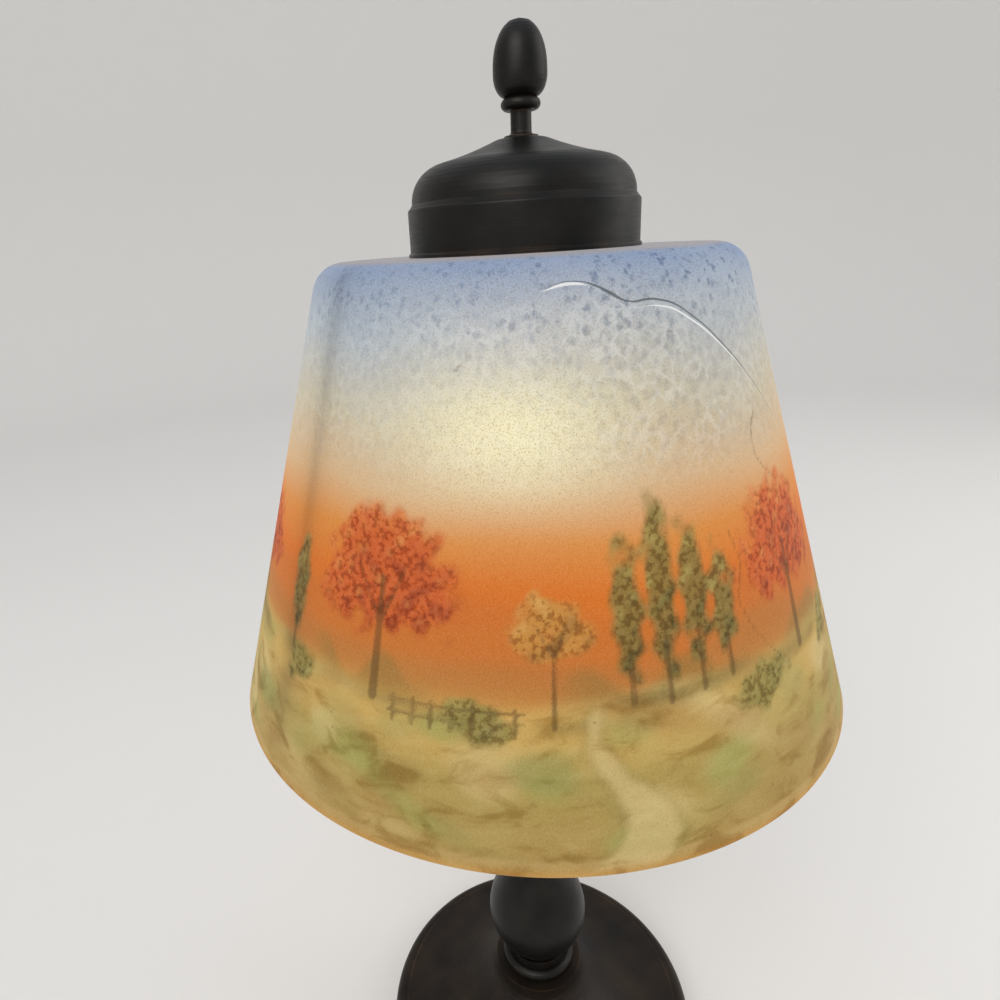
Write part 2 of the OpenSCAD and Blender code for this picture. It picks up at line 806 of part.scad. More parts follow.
// Glass of the bulb: a globe that blends into a neck
module bulb_glass() {
    neck_in_cap = 5;
    globe_end_a = 88;
    path = single(concat(
        [[neck_r, bulb_cap_h - neck_in_cap], [neck_r, neck_top]],
        arc([neck_r + neck_blend_r, neck_top], neck_blend_r, 180, 180 - bulb_blend_a),
        arc([0, globe_z], bulb_r, -bulb_blend_a, globe_end_a, 24)
    ));
    inside = beside(path, bulb_glass_t);
    color([1, 0.95, 0.85]) translate([0, 0, bulb_z]) turned(concat(
        path,
        [[0, bulb_l], [0, bulb_l - bulb_glass_t]],
        backward(inside)
    ));
}

// Screw cap crimped round the neck
module bulb_cap() {
    cap_r = bulb_cap_d / 2;
    foot = bulb_contact_h + bulb_insulator_h;
    in_r = neck_r + turn_play / 2;
    floor_w = 2;
    floor_t = 1.2;
    color("silver") translate([0, 0, bulb_z]) turned([
        [in_r - floor_w, foot],
        [cap_r - floor_t, foot],
        [cap_r, foot + floor_t],
        [cap_r, bulb_cap_h],
        [in_r, bulb_cap_h],
        [in_r, foot + floor_t],
        [in_r - floor_w, foot + floor_t]
    ]);
}

// Black glass between the screw cap and the contact
module bulb_insulator() {
    foot = bulb_contact_h;
    foot_r = 6;
    edge_in = 1.5;
    color("black") translate([0, 0, bulb_z]) turned([
        [0, foot],
        [foot_r, foot],
        [bulb_cap_d / 2 - edge_in, foot + bulb_insulator_h],
        [0, foot + bulb_insulator_h]
    ]);
}

module bulb_contact() {
    foot_r = 3.5;
    top_r = 5;
    color("silver") translate([0, 0, bulb_z]) cylinder(r1 = foot_r, r2 = top_r, h = bulb_contact_h);
}

// Stud that is riveted in the harp's plate, free to turn
module harp_stud() {
    shank_r = stud_shank_d / 2;
    head_top = plate_z - slip_gap / 2;
    head_edge = 0.8;
    color("goldenrod") turned([
        [0, head_top - rivet_h],
        [rivet_d / 2 - head_edge, head_top - rivet_h],
        [rivet_d / 2, head_top - rivet_h + head_edge],
        [rivet_d / 2, head_top],
        [shank_r, head_top],
        [shank_r, harp_top],
        [stud_collar_d / 2, harp_top],
        [stud_collar_d / 2, ring_z],
        [thread_r, ring_z],
        [thread_r, gasket_z + stud_thread_l],
        [0, gasket_z + stud_thread_l]
    ]);
}

// Spoked ring that carries the glass, with a lip inside the hole in its top
module shade_ring() {
    color("goldenrod") translate([0, 0, ring_z]) {
        turned([
            [lip_r - lip_t, 0],
            [ring_r, 0],
            [ring_r, ring_t],
            [lip_r, ring_t],
            [lip_r, lip_top - ring_z],
            [lip_r - lip_t, lip_top - ring_z]
        ]);
        difference() {
            union() {
                cylinder(d = ring_hub_d, h = ring_t);
                for (i = [0:spoke_count - 1]) rotate([0, 0, 90 + 360 * i / spoke_count])
                    translate([0, -spoke_w / 2, 0]) cube([lip_r - lip_t / 2, spoke_w, ring_t]);
            }
            translate([0, 0, -over]) cylinder(r = bore_r, h = ring_t + 2 * over);
        }
    }
}

module ring_gasket() {
    color("tan") translate([0, 0, gasket_z]) tube(ring_r, lip_r + slip_gap, gasket_t);
}

// Long nut that clamps the ring on the stud and takes the finial's thread
module riser() {
    edge = 0.8;
    h = riser_top - riser_z;
    r = riser_d / 2;
    color("goldenrod") translate([0, 0, riser_z]) turned([
        [bore_r, 0], [r - edge, 0], [r, edge], [r, h - edge], [r - edge, h], [bore_r, h]
    ]);
}

// Glass shade: straight flared side, rounded shoulder and flat top with a hole
module shade() {
    rim_r = shade_rim_d / 2;
    bead_r = glass_t / 2;
    tangent_l = shade_shoulder_r * tan((90 - side_slope) / 2);
    shoulder = [shade_top_d / 2 - tangent_l, shade_h - shade_shoulder_r];
    bead = [rim_r - bead_r * tan(side_slope) - bead_r / cos(side_slope), bead_r];
    color([0.85, 0.72, 0.45]) translate([0, 0, shade_rim]) turned(concat(
        arc(shoulder, shade_shoulder_r, side_slope, 90),
        [[hole_r, shade_h], [hole_r, shade_h - glass_t]],
        arc(shoulder, shade_shoulder_r - glass_t, 90, side_slope),
        arc(bead, bead_r, side_slope + 180, side_slope + 360)
    ));
}

// Domed cap: lipped skirt, step, rounded shoulder and a hollow sweep up to a flat crown
module shade_cap() {
    r = cap_d / 2;
    crown_r = 5;
    roll_r = 1;
    lip_h = 0.8;
    step_rise = 1;
    wall_h = 0.1;
    wall_top = cap_skirt_h + step_rise + wall_h;
    sweep_r1 = cap_crown_d / 2 + crown_r * sin(cap_slope_high);
    crown_rise = crown_r * (1 - cos(cap_slope_high));
    // Rise of the sweep for each millimetre across
    grade = (cos(cap_slope_low) - cos(cap_slope_high)) / (sin(cap_slope_high) - sin(cap_slope_low));
    // The shoulder's radius is the one that leads from the short wall above the step into the sweep
    rise_left = cap_h - crown_rise - (cap_dome_d / 2 - sweep_r1) * grade - wall_top;
    shoulder_r = rise_left / (cos(cap_slope_low) - (1 - sin(cap_slope_low)) * grade);
    sweep_r0 = cap_dome_d / 2 - shoulder_r + shoulder_r * sin(cap_slope_low);
    sweep_r = (sweep_r0 - sweep_r1) / (sin(cap_slope_high) - sin(cap_slope_low));
    sweep_foot = wall_top + shoulder_r * cos(cap_slope_low);
    sweep_c = [sweep_r0 + sweep_r * sin(cap_slope_low), sweep_foot + sweep_r * cos(cap_slope_low)];
    path = concat(
        [[r + cap_lip, 0], [r + cap_lip, lip_h], [r, lip_h + cap_lip]],
        arc([r - roll_r, cap_skirt_h - roll_r], roll_r, 0, 60, 5),
        [[cap_dome_d / 2, cap_skirt_h + step_rise]],
        arc([cap_dome_d / 2 - shoulder_r, wall_top], shoulder_r, 0, 90 - cap_slope_low),
        arc(sweep_c, sweep_r, 270 - cap_slope_low, 270 - cap_slope_high, 12),
        arc([cap_crown_d / 2, cap_h - crown_r], crown_r, 90 - cap_slope_high, 90, 5),
        [[thread_r + slip_gap, cap_h]]
    );
    color([0.14, 0.12, 0.11]) translate([0, 0, shade_top]) pressed(path, cap_t);
}

// Turned finial: threaded shank, foot, slim neck, bead and acorn knob
module finial() {
    neck = finial_neck_d / 2;
    foot = finial_foot_d / 2;
    knob = finial_knob_d / 2;
    foot_t = 0.7;
    fillet_r = 1.2;
    bead_r = 1.6;
    bead_w = 1;
    cup_share = 0.3;
    fullness = 2.4;
    cup_steps = 8;
    knob_steps = 14;
    foot_top = crown_z + foot_t;
    knob_z = crown_z + finial_neck_h;
    cup_z = knob_z + 2 * bead_r;
    cup_h = finial_knob_h * cup_share;
    color([0.14, 0.12, 0.11]) turned(concat(
        [[0, shank_z], [thread_r, shank_z], [thread_r, crown_z], [foot, crown_z], [foot, foot_top]],
        backward(arc([neck + fillet_r, foot_top + fillet_r], fillet_r, 180, 270, 5)),
        [[neck, knob_z]],
        arc([neck + bead_w, knob_z + bead_r], bead_r, -90, 90),
        [for (i = [1:cup_steps]) let (a = 90 * i / cup_steps)
            [neck + bead_w + (knob - neck - bead_w) * sin(a), cup_z + cup_h * (1 - cos(a))]],
        [for (i = [1:knob_steps]) let (t = i / knob_steps)
            [knob * sqrt(1 - pow(t, fullness)), cup_z + cup_h + (finial_knob_h - cup_h) * t]]
    ));
}

felt_pad();
base();
base_weight();
bottom_washer();
bottom_nut();
cord_bushing();
lamp_pipe();
collar_ring();
vase();
knop();
stem();
dish();
harp_saddle();
harp();
ferrule_left();
ferrule_right();
socket_cap();
socket_set_screw();
socket_shell();
socket_liner();
switch_body();
terminal_screws();
switch_blade();
centre_contact();
screw_shell();
switch_rotor();
key_spindle();
key_knob();
bulb_glass();
bulb_cap();
bulb_insulator();
bulb_contact();
harp_stud();
shade_ring();
ring_gasket();
riser();
shade();
shade_cap();
finial();
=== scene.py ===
# %% [markdown]
# # A table lamp with a painted glass shade
# The lamp's shape comes from a CAD model, which is loaded here as a fixed frame. This script gives every
# piece its finish, and makes two pieces again with more detail: the painted glass and the felt under the
# base. Blender works in metres. Lengths are typed in millimetres below, and MM turns them into metres.

# %% The frame
import json
import math

import bpy
import numpy as np
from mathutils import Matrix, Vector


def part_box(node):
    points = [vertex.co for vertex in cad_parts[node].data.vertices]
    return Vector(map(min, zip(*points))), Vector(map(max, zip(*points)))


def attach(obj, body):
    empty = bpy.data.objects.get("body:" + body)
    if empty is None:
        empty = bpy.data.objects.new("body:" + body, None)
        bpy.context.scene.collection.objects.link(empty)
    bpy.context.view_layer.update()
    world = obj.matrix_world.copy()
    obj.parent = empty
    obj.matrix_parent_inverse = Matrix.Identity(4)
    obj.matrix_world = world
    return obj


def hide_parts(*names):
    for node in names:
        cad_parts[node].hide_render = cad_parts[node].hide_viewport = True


MM = 0.001
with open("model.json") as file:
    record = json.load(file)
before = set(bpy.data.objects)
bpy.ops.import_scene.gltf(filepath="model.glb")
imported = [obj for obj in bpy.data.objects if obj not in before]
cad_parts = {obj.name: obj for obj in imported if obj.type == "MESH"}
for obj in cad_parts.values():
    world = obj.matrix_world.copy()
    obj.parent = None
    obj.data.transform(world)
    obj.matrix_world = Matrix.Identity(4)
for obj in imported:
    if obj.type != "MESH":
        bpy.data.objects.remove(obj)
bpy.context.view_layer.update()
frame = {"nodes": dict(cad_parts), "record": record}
scene = bpy.context.scene

# %% [markdown]
# ## Camera
# The picture was taken from very near with a wide lens, about level with the top of the glass and tilted
# down, so the shade spreads towards its rim. The camera stands off one corner of the harp: one of the
# harp's legs then throws its shadow on the left of the glass.

# %% Camera
CAMERA_DISTANCE = 221.8 * MM
CAMERA_BEARING = math.radians(-42)
CAMERA_HEIGHT = 337.7 * MM
CAMERA_TURN = [math.radians(angle) for angle in (69.84, 3.25, -36.61)]
LENS_MM = 25.2
LENS_SHIFT = 0.047
NEAREST = 10 * MM

camera = bpy.data.objects.new("camera", bpy.data.cameras.new("camera"))
camera.location = (
    CAMERA_DISTANCE * math.sin(CAMERA_BEARING),
    -CAMERA_DISTANCE * math.cos(CAMERA_BEARING),
    CAMERA_HEIGHT,
)
camera.rotation_euler = CAMERA_TURN
camera.data.lens = LENS_MM
camera.data.shift_x = LENS_SHIFT
camera.data.clip_start = NEAREST
scene.collection.objects.link(camera)
scene.camera = camera
scene.view_settings.view_transform = "Standard"
print("camera at", [round(v, 3) for v in camera.location])

# %% [markdown]
# ## Surfaces of revolution
# Most of a lamp is turned, spun or blown, so a profile swept round an axis is the natural way to make its
# surfaces. The profile is a list of radii and heights. Every point of the surface is worked out at once
# as an array with one row for each profile point and one column for each bearing.

# %% Lathe helper
def lathe(name, radius, height, bearings, caps=None):
    """Surface of revolution: a point is (radius sin b, -radius cos b, height) at each bearing b.

    The arrays have one row for each profile point and one column for each bearing, in millimetres.
    Without caps the profile is a loop, and its last row joins its first. Otherwise caps says whether the
    first and the last row are closed with a flat face.
    """
    rows, steps = radius.shape
    points = np.stack([radius * np.sin(bearings), -radius * np.cos(bearings), height], axis=-1)
    row, step = np.meshgrid(np.arange(rows), np.arange(steps), indexing="ij")
    across = (step + 1) % steps
    above = (row + 1) % rows
    corners = [row * steps + step, row * steps + across, above * steps + across, above * steps + step]
    quads = np.stack(corners, axis=-1)
    faces = quads[:rows if caps is None else -1].reshape(-1, 4).tolist()
    if caps and caps[0]:
        faces.append(np.arange(steps)[::-1].tolist())
    if caps and caps[1]:
        faces.append(((rows - 1) * steps + np.arange(steps)).tolist())
    mesh = bpy.data.meshes.new(name)
    mesh.from_pydata(points.reshape(-1, 3) * MM, [], faces)
    mesh.shade_smooth()
    piece = bpy.data.objects.new(name, mesh)
    scene.collection.objects.link(piece)
    return piece


def arc(centre, radius, start, end, steps):
    """Points of a circle about a centre in the profile plane, from one angle to another."""
    angles = np.linspace(start, end, steps + 1)
    return np.stack([centre[0] + radius * np.cos(angles), centre[1] + radius * np.sin(angles)], axis=-1)


def between(start, end, steps):
    """Points strictly between two points of a profile."""
    share = np.linspace(0, 1, steps + 1)[1:-1, None]
    return np.array(start) * (1 - share) + np.array(end) * share


print("a quarter of a circle:", arc((0, 0), 10, 0, math.pi / 2, 2).round(1).tolist())

# %% [markdown]
# ## Colours and nodes
# Colours are picked as they look on a screen, which is sRGB, but light adds up linearly, so every colour
# goes through one function. Another function adds a shader node of any kind with its settings, and fills its
# inputs with typed values or with links from other nodes.

# %% Colour and node helpers
def linear(code):
    """Red, green, blue and alpha in linear light, from an sRGB hex code."""
    srgb = np.array([int(code[i:i + 2], 16) for i in (1, 3, 5)]) / 255
    rgb = np.where(srgb <= 0.04045, srgb / 12.92, ((srgb + 0.055) / 1.055) ** 2.4)
    return (*map(float, rgb), 1.0)


def fill(made, inputs):
    """Fills the inputs of a node with typed values, or with links from other nodes."""
    for key, value in inputs.items():
        if isinstance(value, bpy.types.NodeSocket):
            made.id_data.links.new(value, made.inputs[key])
        else:
            made.inputs[key].default_value = value


def node(tree, kind, inputs, **settings):
    """Adds a shader node, sets its properties and fills its inputs."""
    made = tree.nodes.new("ShaderNode" + kind)
    for name, value in settings.items():
        setattr(made, name, value)
    fill(made, inputs)
    return made


def new_material(name):
    """A material with its node tree and its shader."""
    made = bpy.data.materials.new(name)
    made.use_nodes = True
    return made, made.node_tree, made.node_tree.nodes["Principled BSDF"]


# Inputs and output of the mix node when it mixes colours
FACTOR, FIRST, SECOND, MIXED = 0, 6, 7, 2
print("middle grey in linear light:", round(linear("#808080")[0], 3))

# %% [markdown]
# ## Studio
# A plain pale floor that curves up into a round wall has no corner to distract from the lamp, and it
# works from every side. It is a surface of revolution too, with the lamp on its axis.

# %% Floor
FLOOR_R = 1500
WALL_R = 600
WALL_H = 2200
WALL_STEPS = 16
FLOOR_STEPS = 96
floor_profile = np.concatenate([
    [(FLOOR_R + WALL_R, WALL_H)],
    arc((FLOOR_R, WALL_R), WALL_R, 0, -math.pi / 2, WALL_STEPS),
    [(FLOOR_R / 2, 0)],
])
floor = lathe(
    "floor",
    np.repeat(floor_profile[:, :1], FLOOR_STEPS, axis=1),
    np.repeat(floor_profile[:, 1:], FLOOR_STEPS, axis=1),
    np.linspace(0, 2 * math.pi, FLOOR_STEPS, endpoint=False),
    caps=(False, True),
)
print("floor radius in metres:", FLOOR_R * MM)

# %% [markdown]
# ## Backdrop paper
# A pale background could come from stronger lamps, but these would bleach the lamp as well. Instead the
# paper shines a little by itself, for the eye and for mirror images alone, which costs no extra light on
# the lamp.

# %% Backdrop paper
# Matt paper: a plain pale grey
PAPER_LIFT = 0.16
paper, tree, shader = new_material("backdrop paper")
rays = node(tree, "LightPath", {})
mirrored = node(
    tree, "Math",
    {0: rays.outputs["Is Glossy Ray"], 1: rays.outputs["Is Transmission Ray"]},
    operation="MAXIMUM",
)
seen = node(
    tree, "Math",
    {0: rays.outputs["Is Camera Ray"], 1: mirrored.outputs[0]},
    operation="MAXIMUM",
)
lift = node(tree, "Math", {0: seen.outputs[0], 1: PAPER_LIFT}, operation="MULTIPLY")
fill(shader, {
    "Base Color": linear("#dddad5"),
    "Roughness": 0.9,
    "Emission Color": linear("#ffffff"),
    "Emission Strength": lift.outputs[0],
})
floor.data.materials.append(paper)
print("paper lifted by", PAPER_LIFT)

# %% [markdown]
# ## Light
# The light is soft: a pale world and two large panels. One panel is stronger than the other, so that round
# pieces shade off to one side.

# %% Light
world = bpy.data.worlds.new("studio")
world.use_nodes = True
fill(world.node_tree.nodes["Background"], {"Color": linear("#dfe3ea"), "Strength": 0.85})
scene.world = world

# Each panel: its place and its width in metres, and its power in watts. It faces the middle of the lamp.
LAMP_MIDDLE = np.array([0, 0, 0.2])
PANELS = {
    "key": ((-0.9, -0.5, 1.1), 0.9, 9.0),
    "fill": ((0.9, -0.6, 0.7), 0.9, 4.0),
}
for name, (place, size, watts) in PANELS.items():
    panel = bpy.data.objects.new(name, bpy.data.lights.new(name, "AREA"))
    panel.data.size = size
    panel.data.energy = watts
    panel.location = place
    # A panel shines down its own Z axis: it is tilted up from there, then turned towards the lamp
    aim = LAMP_MIDDLE - np.array(place)
    tilt = math.acos(aim[2] / np.linalg.norm(aim)) - math.pi
    panel.rotation_euler = (tilt, 0, math.atan2(aim[0], -aim[1]))
    scene.collection.objects.link(panel)
print("panels:", list(PANELS))

# %% [markdown]
# ## Metals and moulded pieces
# Worn finishes have three things in common: broad clouds where the tone shifts, a fine grain that breaks
# up the reflection, and edges that handling has rubbed bright. The edges are found by rounding them
# off in the shader and measuring how far the rounded normal leans away from the true one. The real grain
# is finer than a tenth of a millimetre, so it is drawn coarser than it is, to show in the picture.

# %% Finish helper
WORN_MM = 0.8
SHEEN_SPREAD = 0.12


def finish(name, tones, metallic, roughness, cloud_mm, grain_mm, depth_mm, worn=None, ior=1.5, spun=1.0):
    """A finish of two cloudy tones, a grain of a given size and depth, and a worn tone on the edges.

    Where the grain is spun, it is that many times longer in X and Y than in Z, which leaves level rings.
    """
    made, tree, shader = new_material(name)
    place = node(tree, "TexCoord", {}).outputs["Object"]
    turned = node(tree, "Mapping", {"Vector": place, "Scale": (1 / spun, 1 / spun, 1)}).outputs["Vector"]
    clouds = node(tree, "TexNoise", {"Vector": place, "Scale": 1 / (cloud_mm * MM), "Detail": 5.0})
    grain = node(tree, "TexNoise", {"Vector": turned, "Scale": 1 / (grain_mm * MM), "Detail": 3.0})
    mask = node(tree, "MapRange", {"Value": clouds.outputs[0], "From Min": 0.35, "From Max": 0.68})
    colour = node(
        tree, "Mix",
        {FACTOR: mask.outputs[0], FIRST: linear(tones[0]), SECOND: linear(tones[1])},
        data_type="RGBA",
    ).outputs[MIXED]
    if worn:
        rounded = node(tree, "Bevel", {"Radius": WORN_MM * MM}, samples=6)
        surface = node(tree, "NewGeometry", {})
        lean = node(
            tree, "VectorMath",
            {0: rounded.outputs[0], 1: surface.outputs["Normal"]},
            operation="DOT_PRODUCT",
        )
        edge = node(
            tree, "MapRange",
            {"Value": lean.outputs["Value"], "From Min": 0.99, "From Max": 0.86, "To Max": 0.8},
        )
        patchy = node(
            tree, "Math",
            {0: edge.outputs[0], 1: mask.outputs[0]},
            operation="MULTIPLY",
        )
        colour = node(
            tree, "Mix",
            {FACTOR: patchy.outputs[0], FIRST: colour, SECOND: linear(worn)},
            data_type="RGBA",
        ).outputs[MIXED]
    sheen = node(
        tree, "MapRange",
        {
            "Value": grain.outputs[0],
            "To Min": roughness - SHEEN_SPREAD,
            "To Max": roughness + SHEEN_SPREAD,
        },
    )
    relief = node(tree, "Bump", {"Height": grain.outputs[0], "Distance": depth_mm * MM})
    fill(shader, {
        "Base Color": colour,
        "Metallic": metallic,
        "Roughness": sheen.outputs[0],
        "IOR": ior,
        "Normal": relief.outputs[0],
    })
    return made


print("edges are worn for", WORN_MM, "mm")

# %% [markdown]
# ## Finishes by slot
# The record names a finish for every piece. The cap in the picture is nearly black with a faint sheen,
# the look of bronze darkened with oil. The same finish goes on the turned pieces below the shade, and the
# pieces near the bulb are aged brass, the usual metal of lamp fittings.

# %% Finishes
FINISHES = {
    # Spun bronze, darkened with oil: near black, with a faint sheen in fine rings
    "dark_bronze": finish(
        "oil-darkened bronze", ("#141514", "#262320"), metallic=0.7, roughness=0.42,
        cloud_mm=14, grain_mm=0.5, depth_mm=0.03, worn="#6a5138", spun=14,
    ),
    # Cast iron under a bronze lacquer: dark brown, faintly pitted, rubbed lighter at the edges
    "base_casting": finish(
        "bronzed casting", ("#1b1714", "#33291f"), metallic=0.6, roughness=0.46,
        cloud_mm=18, grain_mm=0.9, depth_mm=0.06, worn="#7a5c3a",
    ),
    # Brass gone brown in the air: dull and warm, brighter at the edges
    "brass": finish(
        "aged brass", ("#8a6a35", "#b8944f"), metallic=1.0, roughness=0.32,
        cloud_mm=10, grain_mm=0.6, depth_mm=0.02, worn="#d8bd7c",
    ),
    # Phosphor bronze, bright from the rolls: a clean copper tone
    "contact_bronze": finish(
        "spring bronze", ("#9a6239", "#b77b4b"), metallic=1.0, roughness=0.28,
        cloud_mm=4, grain_mm=0.4, depth_mm=0.01,
    ),
    # Grey iron as it left the sand: dull and pitted
    "iron": finish(
        "raw iron casting", ("#3f3b38", "#574f48"), metallic=0.8, roughness=0.6,
        cloud_mm=8, grain_mm=0.8, depth_mm=0.08, worn="#8a8178",
    ),
    # Steel with a thin zinc plate: pale grey and evenly bright
    "steel": finish(
        "plated steel", ("#9a9a98", "#b9b9b6"), metallic=1.0, roughness=0.3,
        cloud_mm=6, grain_mm=0.5, depth_mm=0.01, worn="#d6d6d4",
    ),
    # Pressed cork: small brown grains without any shine
    "cork": finish(
        "cork", ("#8f6a42", "#b48a5b"), metallic=0.0, roughness=0.85,
        cloud_mm=1.6, grain_mm=0.5, depth_mm=0.15,
    ),
    # Unglazed porcelain: warm white with a faint satin
    "porcelain": finish(
        "porcelain", ("#ddd6c6", "#e8e3d7"), metallic=0.0, roughness=0.5,
        cloud_mm=12, grain_mm=0.4, depth_mm=0.02,
    ),
    # Vulcanised fibre: a dull red-brown board
    "fibre": finish(
        "vulcanised fibre", ("#563625", "#6b4631"), metallic=0.0, roughness=0.6,
        cloud_mm=5, grain_mm=0.4, depth_mm=0.03,
    ),
    # Phenolic resin with wood flour: nearly black, with the gloss of the mould
    "bakelite": finish(
        "phenolic resin", ("#150e0b", "#231611"), metallic=0.0, roughness=0.22,
        cloud_mm=7, grain_mm=0.7, depth_mm=0.008, worn="#3a271d", ior=1.6,
    ),
    # Moulded rubber: black and dull
    "bushing_rubber": finish(
        "rubber", ("#131313", "#1c1b1a"), metallic=0.0, roughness=0.65,
        cloud_mm=4, grain_mm=0.5, depth_mm=0.03,
    ),
    # Drawn aluminium: pale, with fine lines round it
    "bulb_metal": finish(
        "drawn aluminium", ("#a8a8a9", "#c0c0c1"), metallic=1.0, roughness=0.34,
        cloud_mm=5, grain_mm=0.4, depth_mm=0.01, spun=10,
    ),
    # Black glass, pressed into the bulb's cap: smooth and glossy
    "black_glass": finish(
        "black glass", ("#0c0c0e", "#141416"), metallic=0.0, roughness=0.15,
        cloud_mm=4, grain_mm=0.6, depth_mm=0.004, ior=1.55,
    ),
}
print(len(FINISHES), "finishes made")

# %% [markdown]
# ## Bulb
# The bulb is frosted inside, so when lit its whole globe glows evenly and the filament doesn't show. The
# glow fades a little towards the neck, which is farther from the filament. The etching is finer than a
# tenth of a millimetre, so it is drawn coarser.

# %% Bulb glass
# Blown soda glass, etched inside: an even, warm glow with a dull satin face
NECK_GLOW = 0.3
GLOBE_GLOW = 0.52
CROWN_MM = 25
FROST_MM = 1.2
bulb_low, bulb_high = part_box("bulb_glass")
opal, tree, shader = new_material("frosted bulb glass")
place = node(tree, "TexCoord", {}).outputs["Object"]
rise = node(tree, "SeparateXYZ", {"Vector": place}).outputs["Z"]
frost = node(tree, "TexNoise", {"Vector": place, "Scale": 1 / (FROST_MM * MM), "Detail": 2.0})
lit = node(
    tree, "MapRange",
    {
        "Value": rise, "From Min": bulb_low[2], "From Max": bulb_high[2] - CROWN_MM * MM,
        "To Min": NECK_GLOW, "To Max": GLOBE_GLOW,
    },
)
satin = node(tree, "MapRange", {"Value": frost.outputs[0], "To Min": 0.35, "To Max": 0.5})
fill(shader, {
    "Base Color": linear("#c9c0ae"),
    "Roughness": satin.outputs[0],
    "Emission Color": linear("#ffeecb"),
    "Emission Strength": lit.outputs[0],
})
FINISHES["bulb_glass"] = opal
print("bulb from", round(bulb_low[2] / MM), "to", round(bulb_high[2] / MM), "mm")

# %% [markdown]
# ## Glass of the shade
# The shade was blown in a mould: a straight flared side, a rounded shoulder and a flat top with a hole for
# the ring. The profile runs up the outside, over the top, through the hole and down the inside. The outside
# has rows about a millimetre apart, because the paint is stored in its points. R and H are each point's
# radius and height in millimetres, from the axis and from the rim, and B is its bearing in degrees from the
# side that faces the camera.

# %% Shade profile
SHADE_H = 136
RIM_R = 100
TOP_R = 60.75
SHOULDER_R = 9.5
GLASS_T = 3
HOLE_R = 25
SIDE_ROWS = 116
INSIDE_ROWS = 44
RIM_ROWS = 8
SHOULDER_ROWS = 9
INNER_SHOULDER_ROWS = 5
TOP_ROWS = 4
BEARING_STEPS = 500

slope = math.atan((RIM_R - TOP_R) / SHADE_H)
bead_r = GLASS_T / 2
shoulder = (TOP_R - SHOULDER_R * math.tan((math.pi / 2 - slope) / 2), SHADE_H - SHOULDER_R)
bead = (RIM_R - bead_r * math.tan(slope) - bead_r / math.cos(slope), bead_r)
rim_arc = arc(bead, bead_r, slope + math.pi, slope + 2 * math.pi, RIM_ROWS)
outer_arc = arc(shoulder, SHOULDER_R, slope, math.pi / 2, SHOULDER_ROWS)
inner_arc = arc(shoulder, SHOULDER_R - GLASS_T, math.pi / 2, slope, INNER_SHOULDER_ROWS)
profile = np.concatenate([
    rim_arc,
    between(rim_arc[-1], outer_arc[0], SIDE_ROWS),
    outer_arc,
    between(outer_arc[-1], (HOLE_R, SHADE_H), TOP_ROWS),
    [(HOLE_R, SHADE_H), (HOLE_R, SHADE_H - GLASS_T)],
    inner_arc,
    between(inner_arc[-1], rim_arc[0], INSIDE_ROWS),
])
outside = np.arange(len(profile))[:, None] < len(rim_arc) + SIDE_ROWS + len(outer_arc)
bearings = np.linspace(-math.pi, math.pi, BEARING_STEPS, endpoint=False)
R = np.repeat(profile[:, :1], BEARING_STEPS, axis=1)
H = np.repeat(profile[:, 1:], BEARING_STEPS, axis=1)
B = np.repeat(np.degrees(bearings - CAMERA_BEARING)[None, :], len(profile), axis=0)
B = (B + 180) % 360 - 180
print("shade profile of", len(profile), "points; side slopes", round(math.degrees(slope), 1), "degrees")

# %% [markdown]
# ## Crack
# The old glass has a long shell-shaped crack below the shoulder. Its line is typed as bearings and heights,
# and a mean over a few degrees rounds the corners. Every point keeps its distance from the line, plus above
# and minus below. A distance stays straight between points, so the shader can draw a line from it that is
# much finer than the mesh. The glass just below the line is a little lower, like the hollow that a flake
# leaves.

# %% Crack
CRACK = np.array([
    (3, 128.5), (6.5, 130.2), (10, 130.4), (13.5, 129.6), (18.5, 126.5), (21, 124.8), (25.5, 125.7),
    (31.5, 124.2), (39.5, 118), (48, 109), (54, 101.5), (60, 93),
])
KINK = np.linspace(-2, 2, 9)
FLAKE_DEPTH = 0.3
FLAKE_SPAN = 4


def soft_step(value, low, high):
    """0 below low, 1 above high, and smooth between."""
    share = np.clip((value - low) / (high - low), 0, 1)
    return share * share * (3 - 2 * share)


def along_crack(stops):
    """A size that changes along the crack, from its values at some bearings."""
    return np.interp(B, list(stops), list(stops.values()))


line = np.mean([np.interp(B + shift, CRACK[:, 0], CRACK[:, 1]) for shift in KINK], axis=0)
lean = np.gradient(line, axis=1) / (2 * math.pi / BEARING_STEPS * R)
above = (H - line) / np.hypot(1, lean)
lip = along_crack({3: 0, 8: 1, 40: 1, 52: 0})
hollow = soft_step(-above, -0.7, 0.9) * np.exp(-np.maximum(-above, 0) / FLAKE_SPAN)
R = R - FLAKE_DEPTH * lip * hollow * outside

shade_low, shade_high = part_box("shade")
glass = lathe("painted_shade", R, H + shade_low[2] / MM, bearings)
glass.data.set_sharp_from_angle(angle=math.radians(50))
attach(glass, "shade")
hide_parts("shade")
shade_tall = (shade_high[2] - shade_low[2]) / MM
print("shade has", len(glass.data.polygons), "quads on", round(shade_tall, 1), "mm")

# %% [markdown]
# ## Painting: tools
# On such a shade the picture is brushed on the inside in thin colour, and the lit bulb shows it through
# the frosted glass. Here it is painted in an array of colours, one for each point of the glass. A colour is
# laid over the picture by its cover, from 0 to 1 at each point. Covers come from soft patches and from sums
# of random waves that close up round the glass. The random numbers have a fixed seed, so the picture is the
# same each time.

# %% Painting tools
random = np.random.default_rng(7)


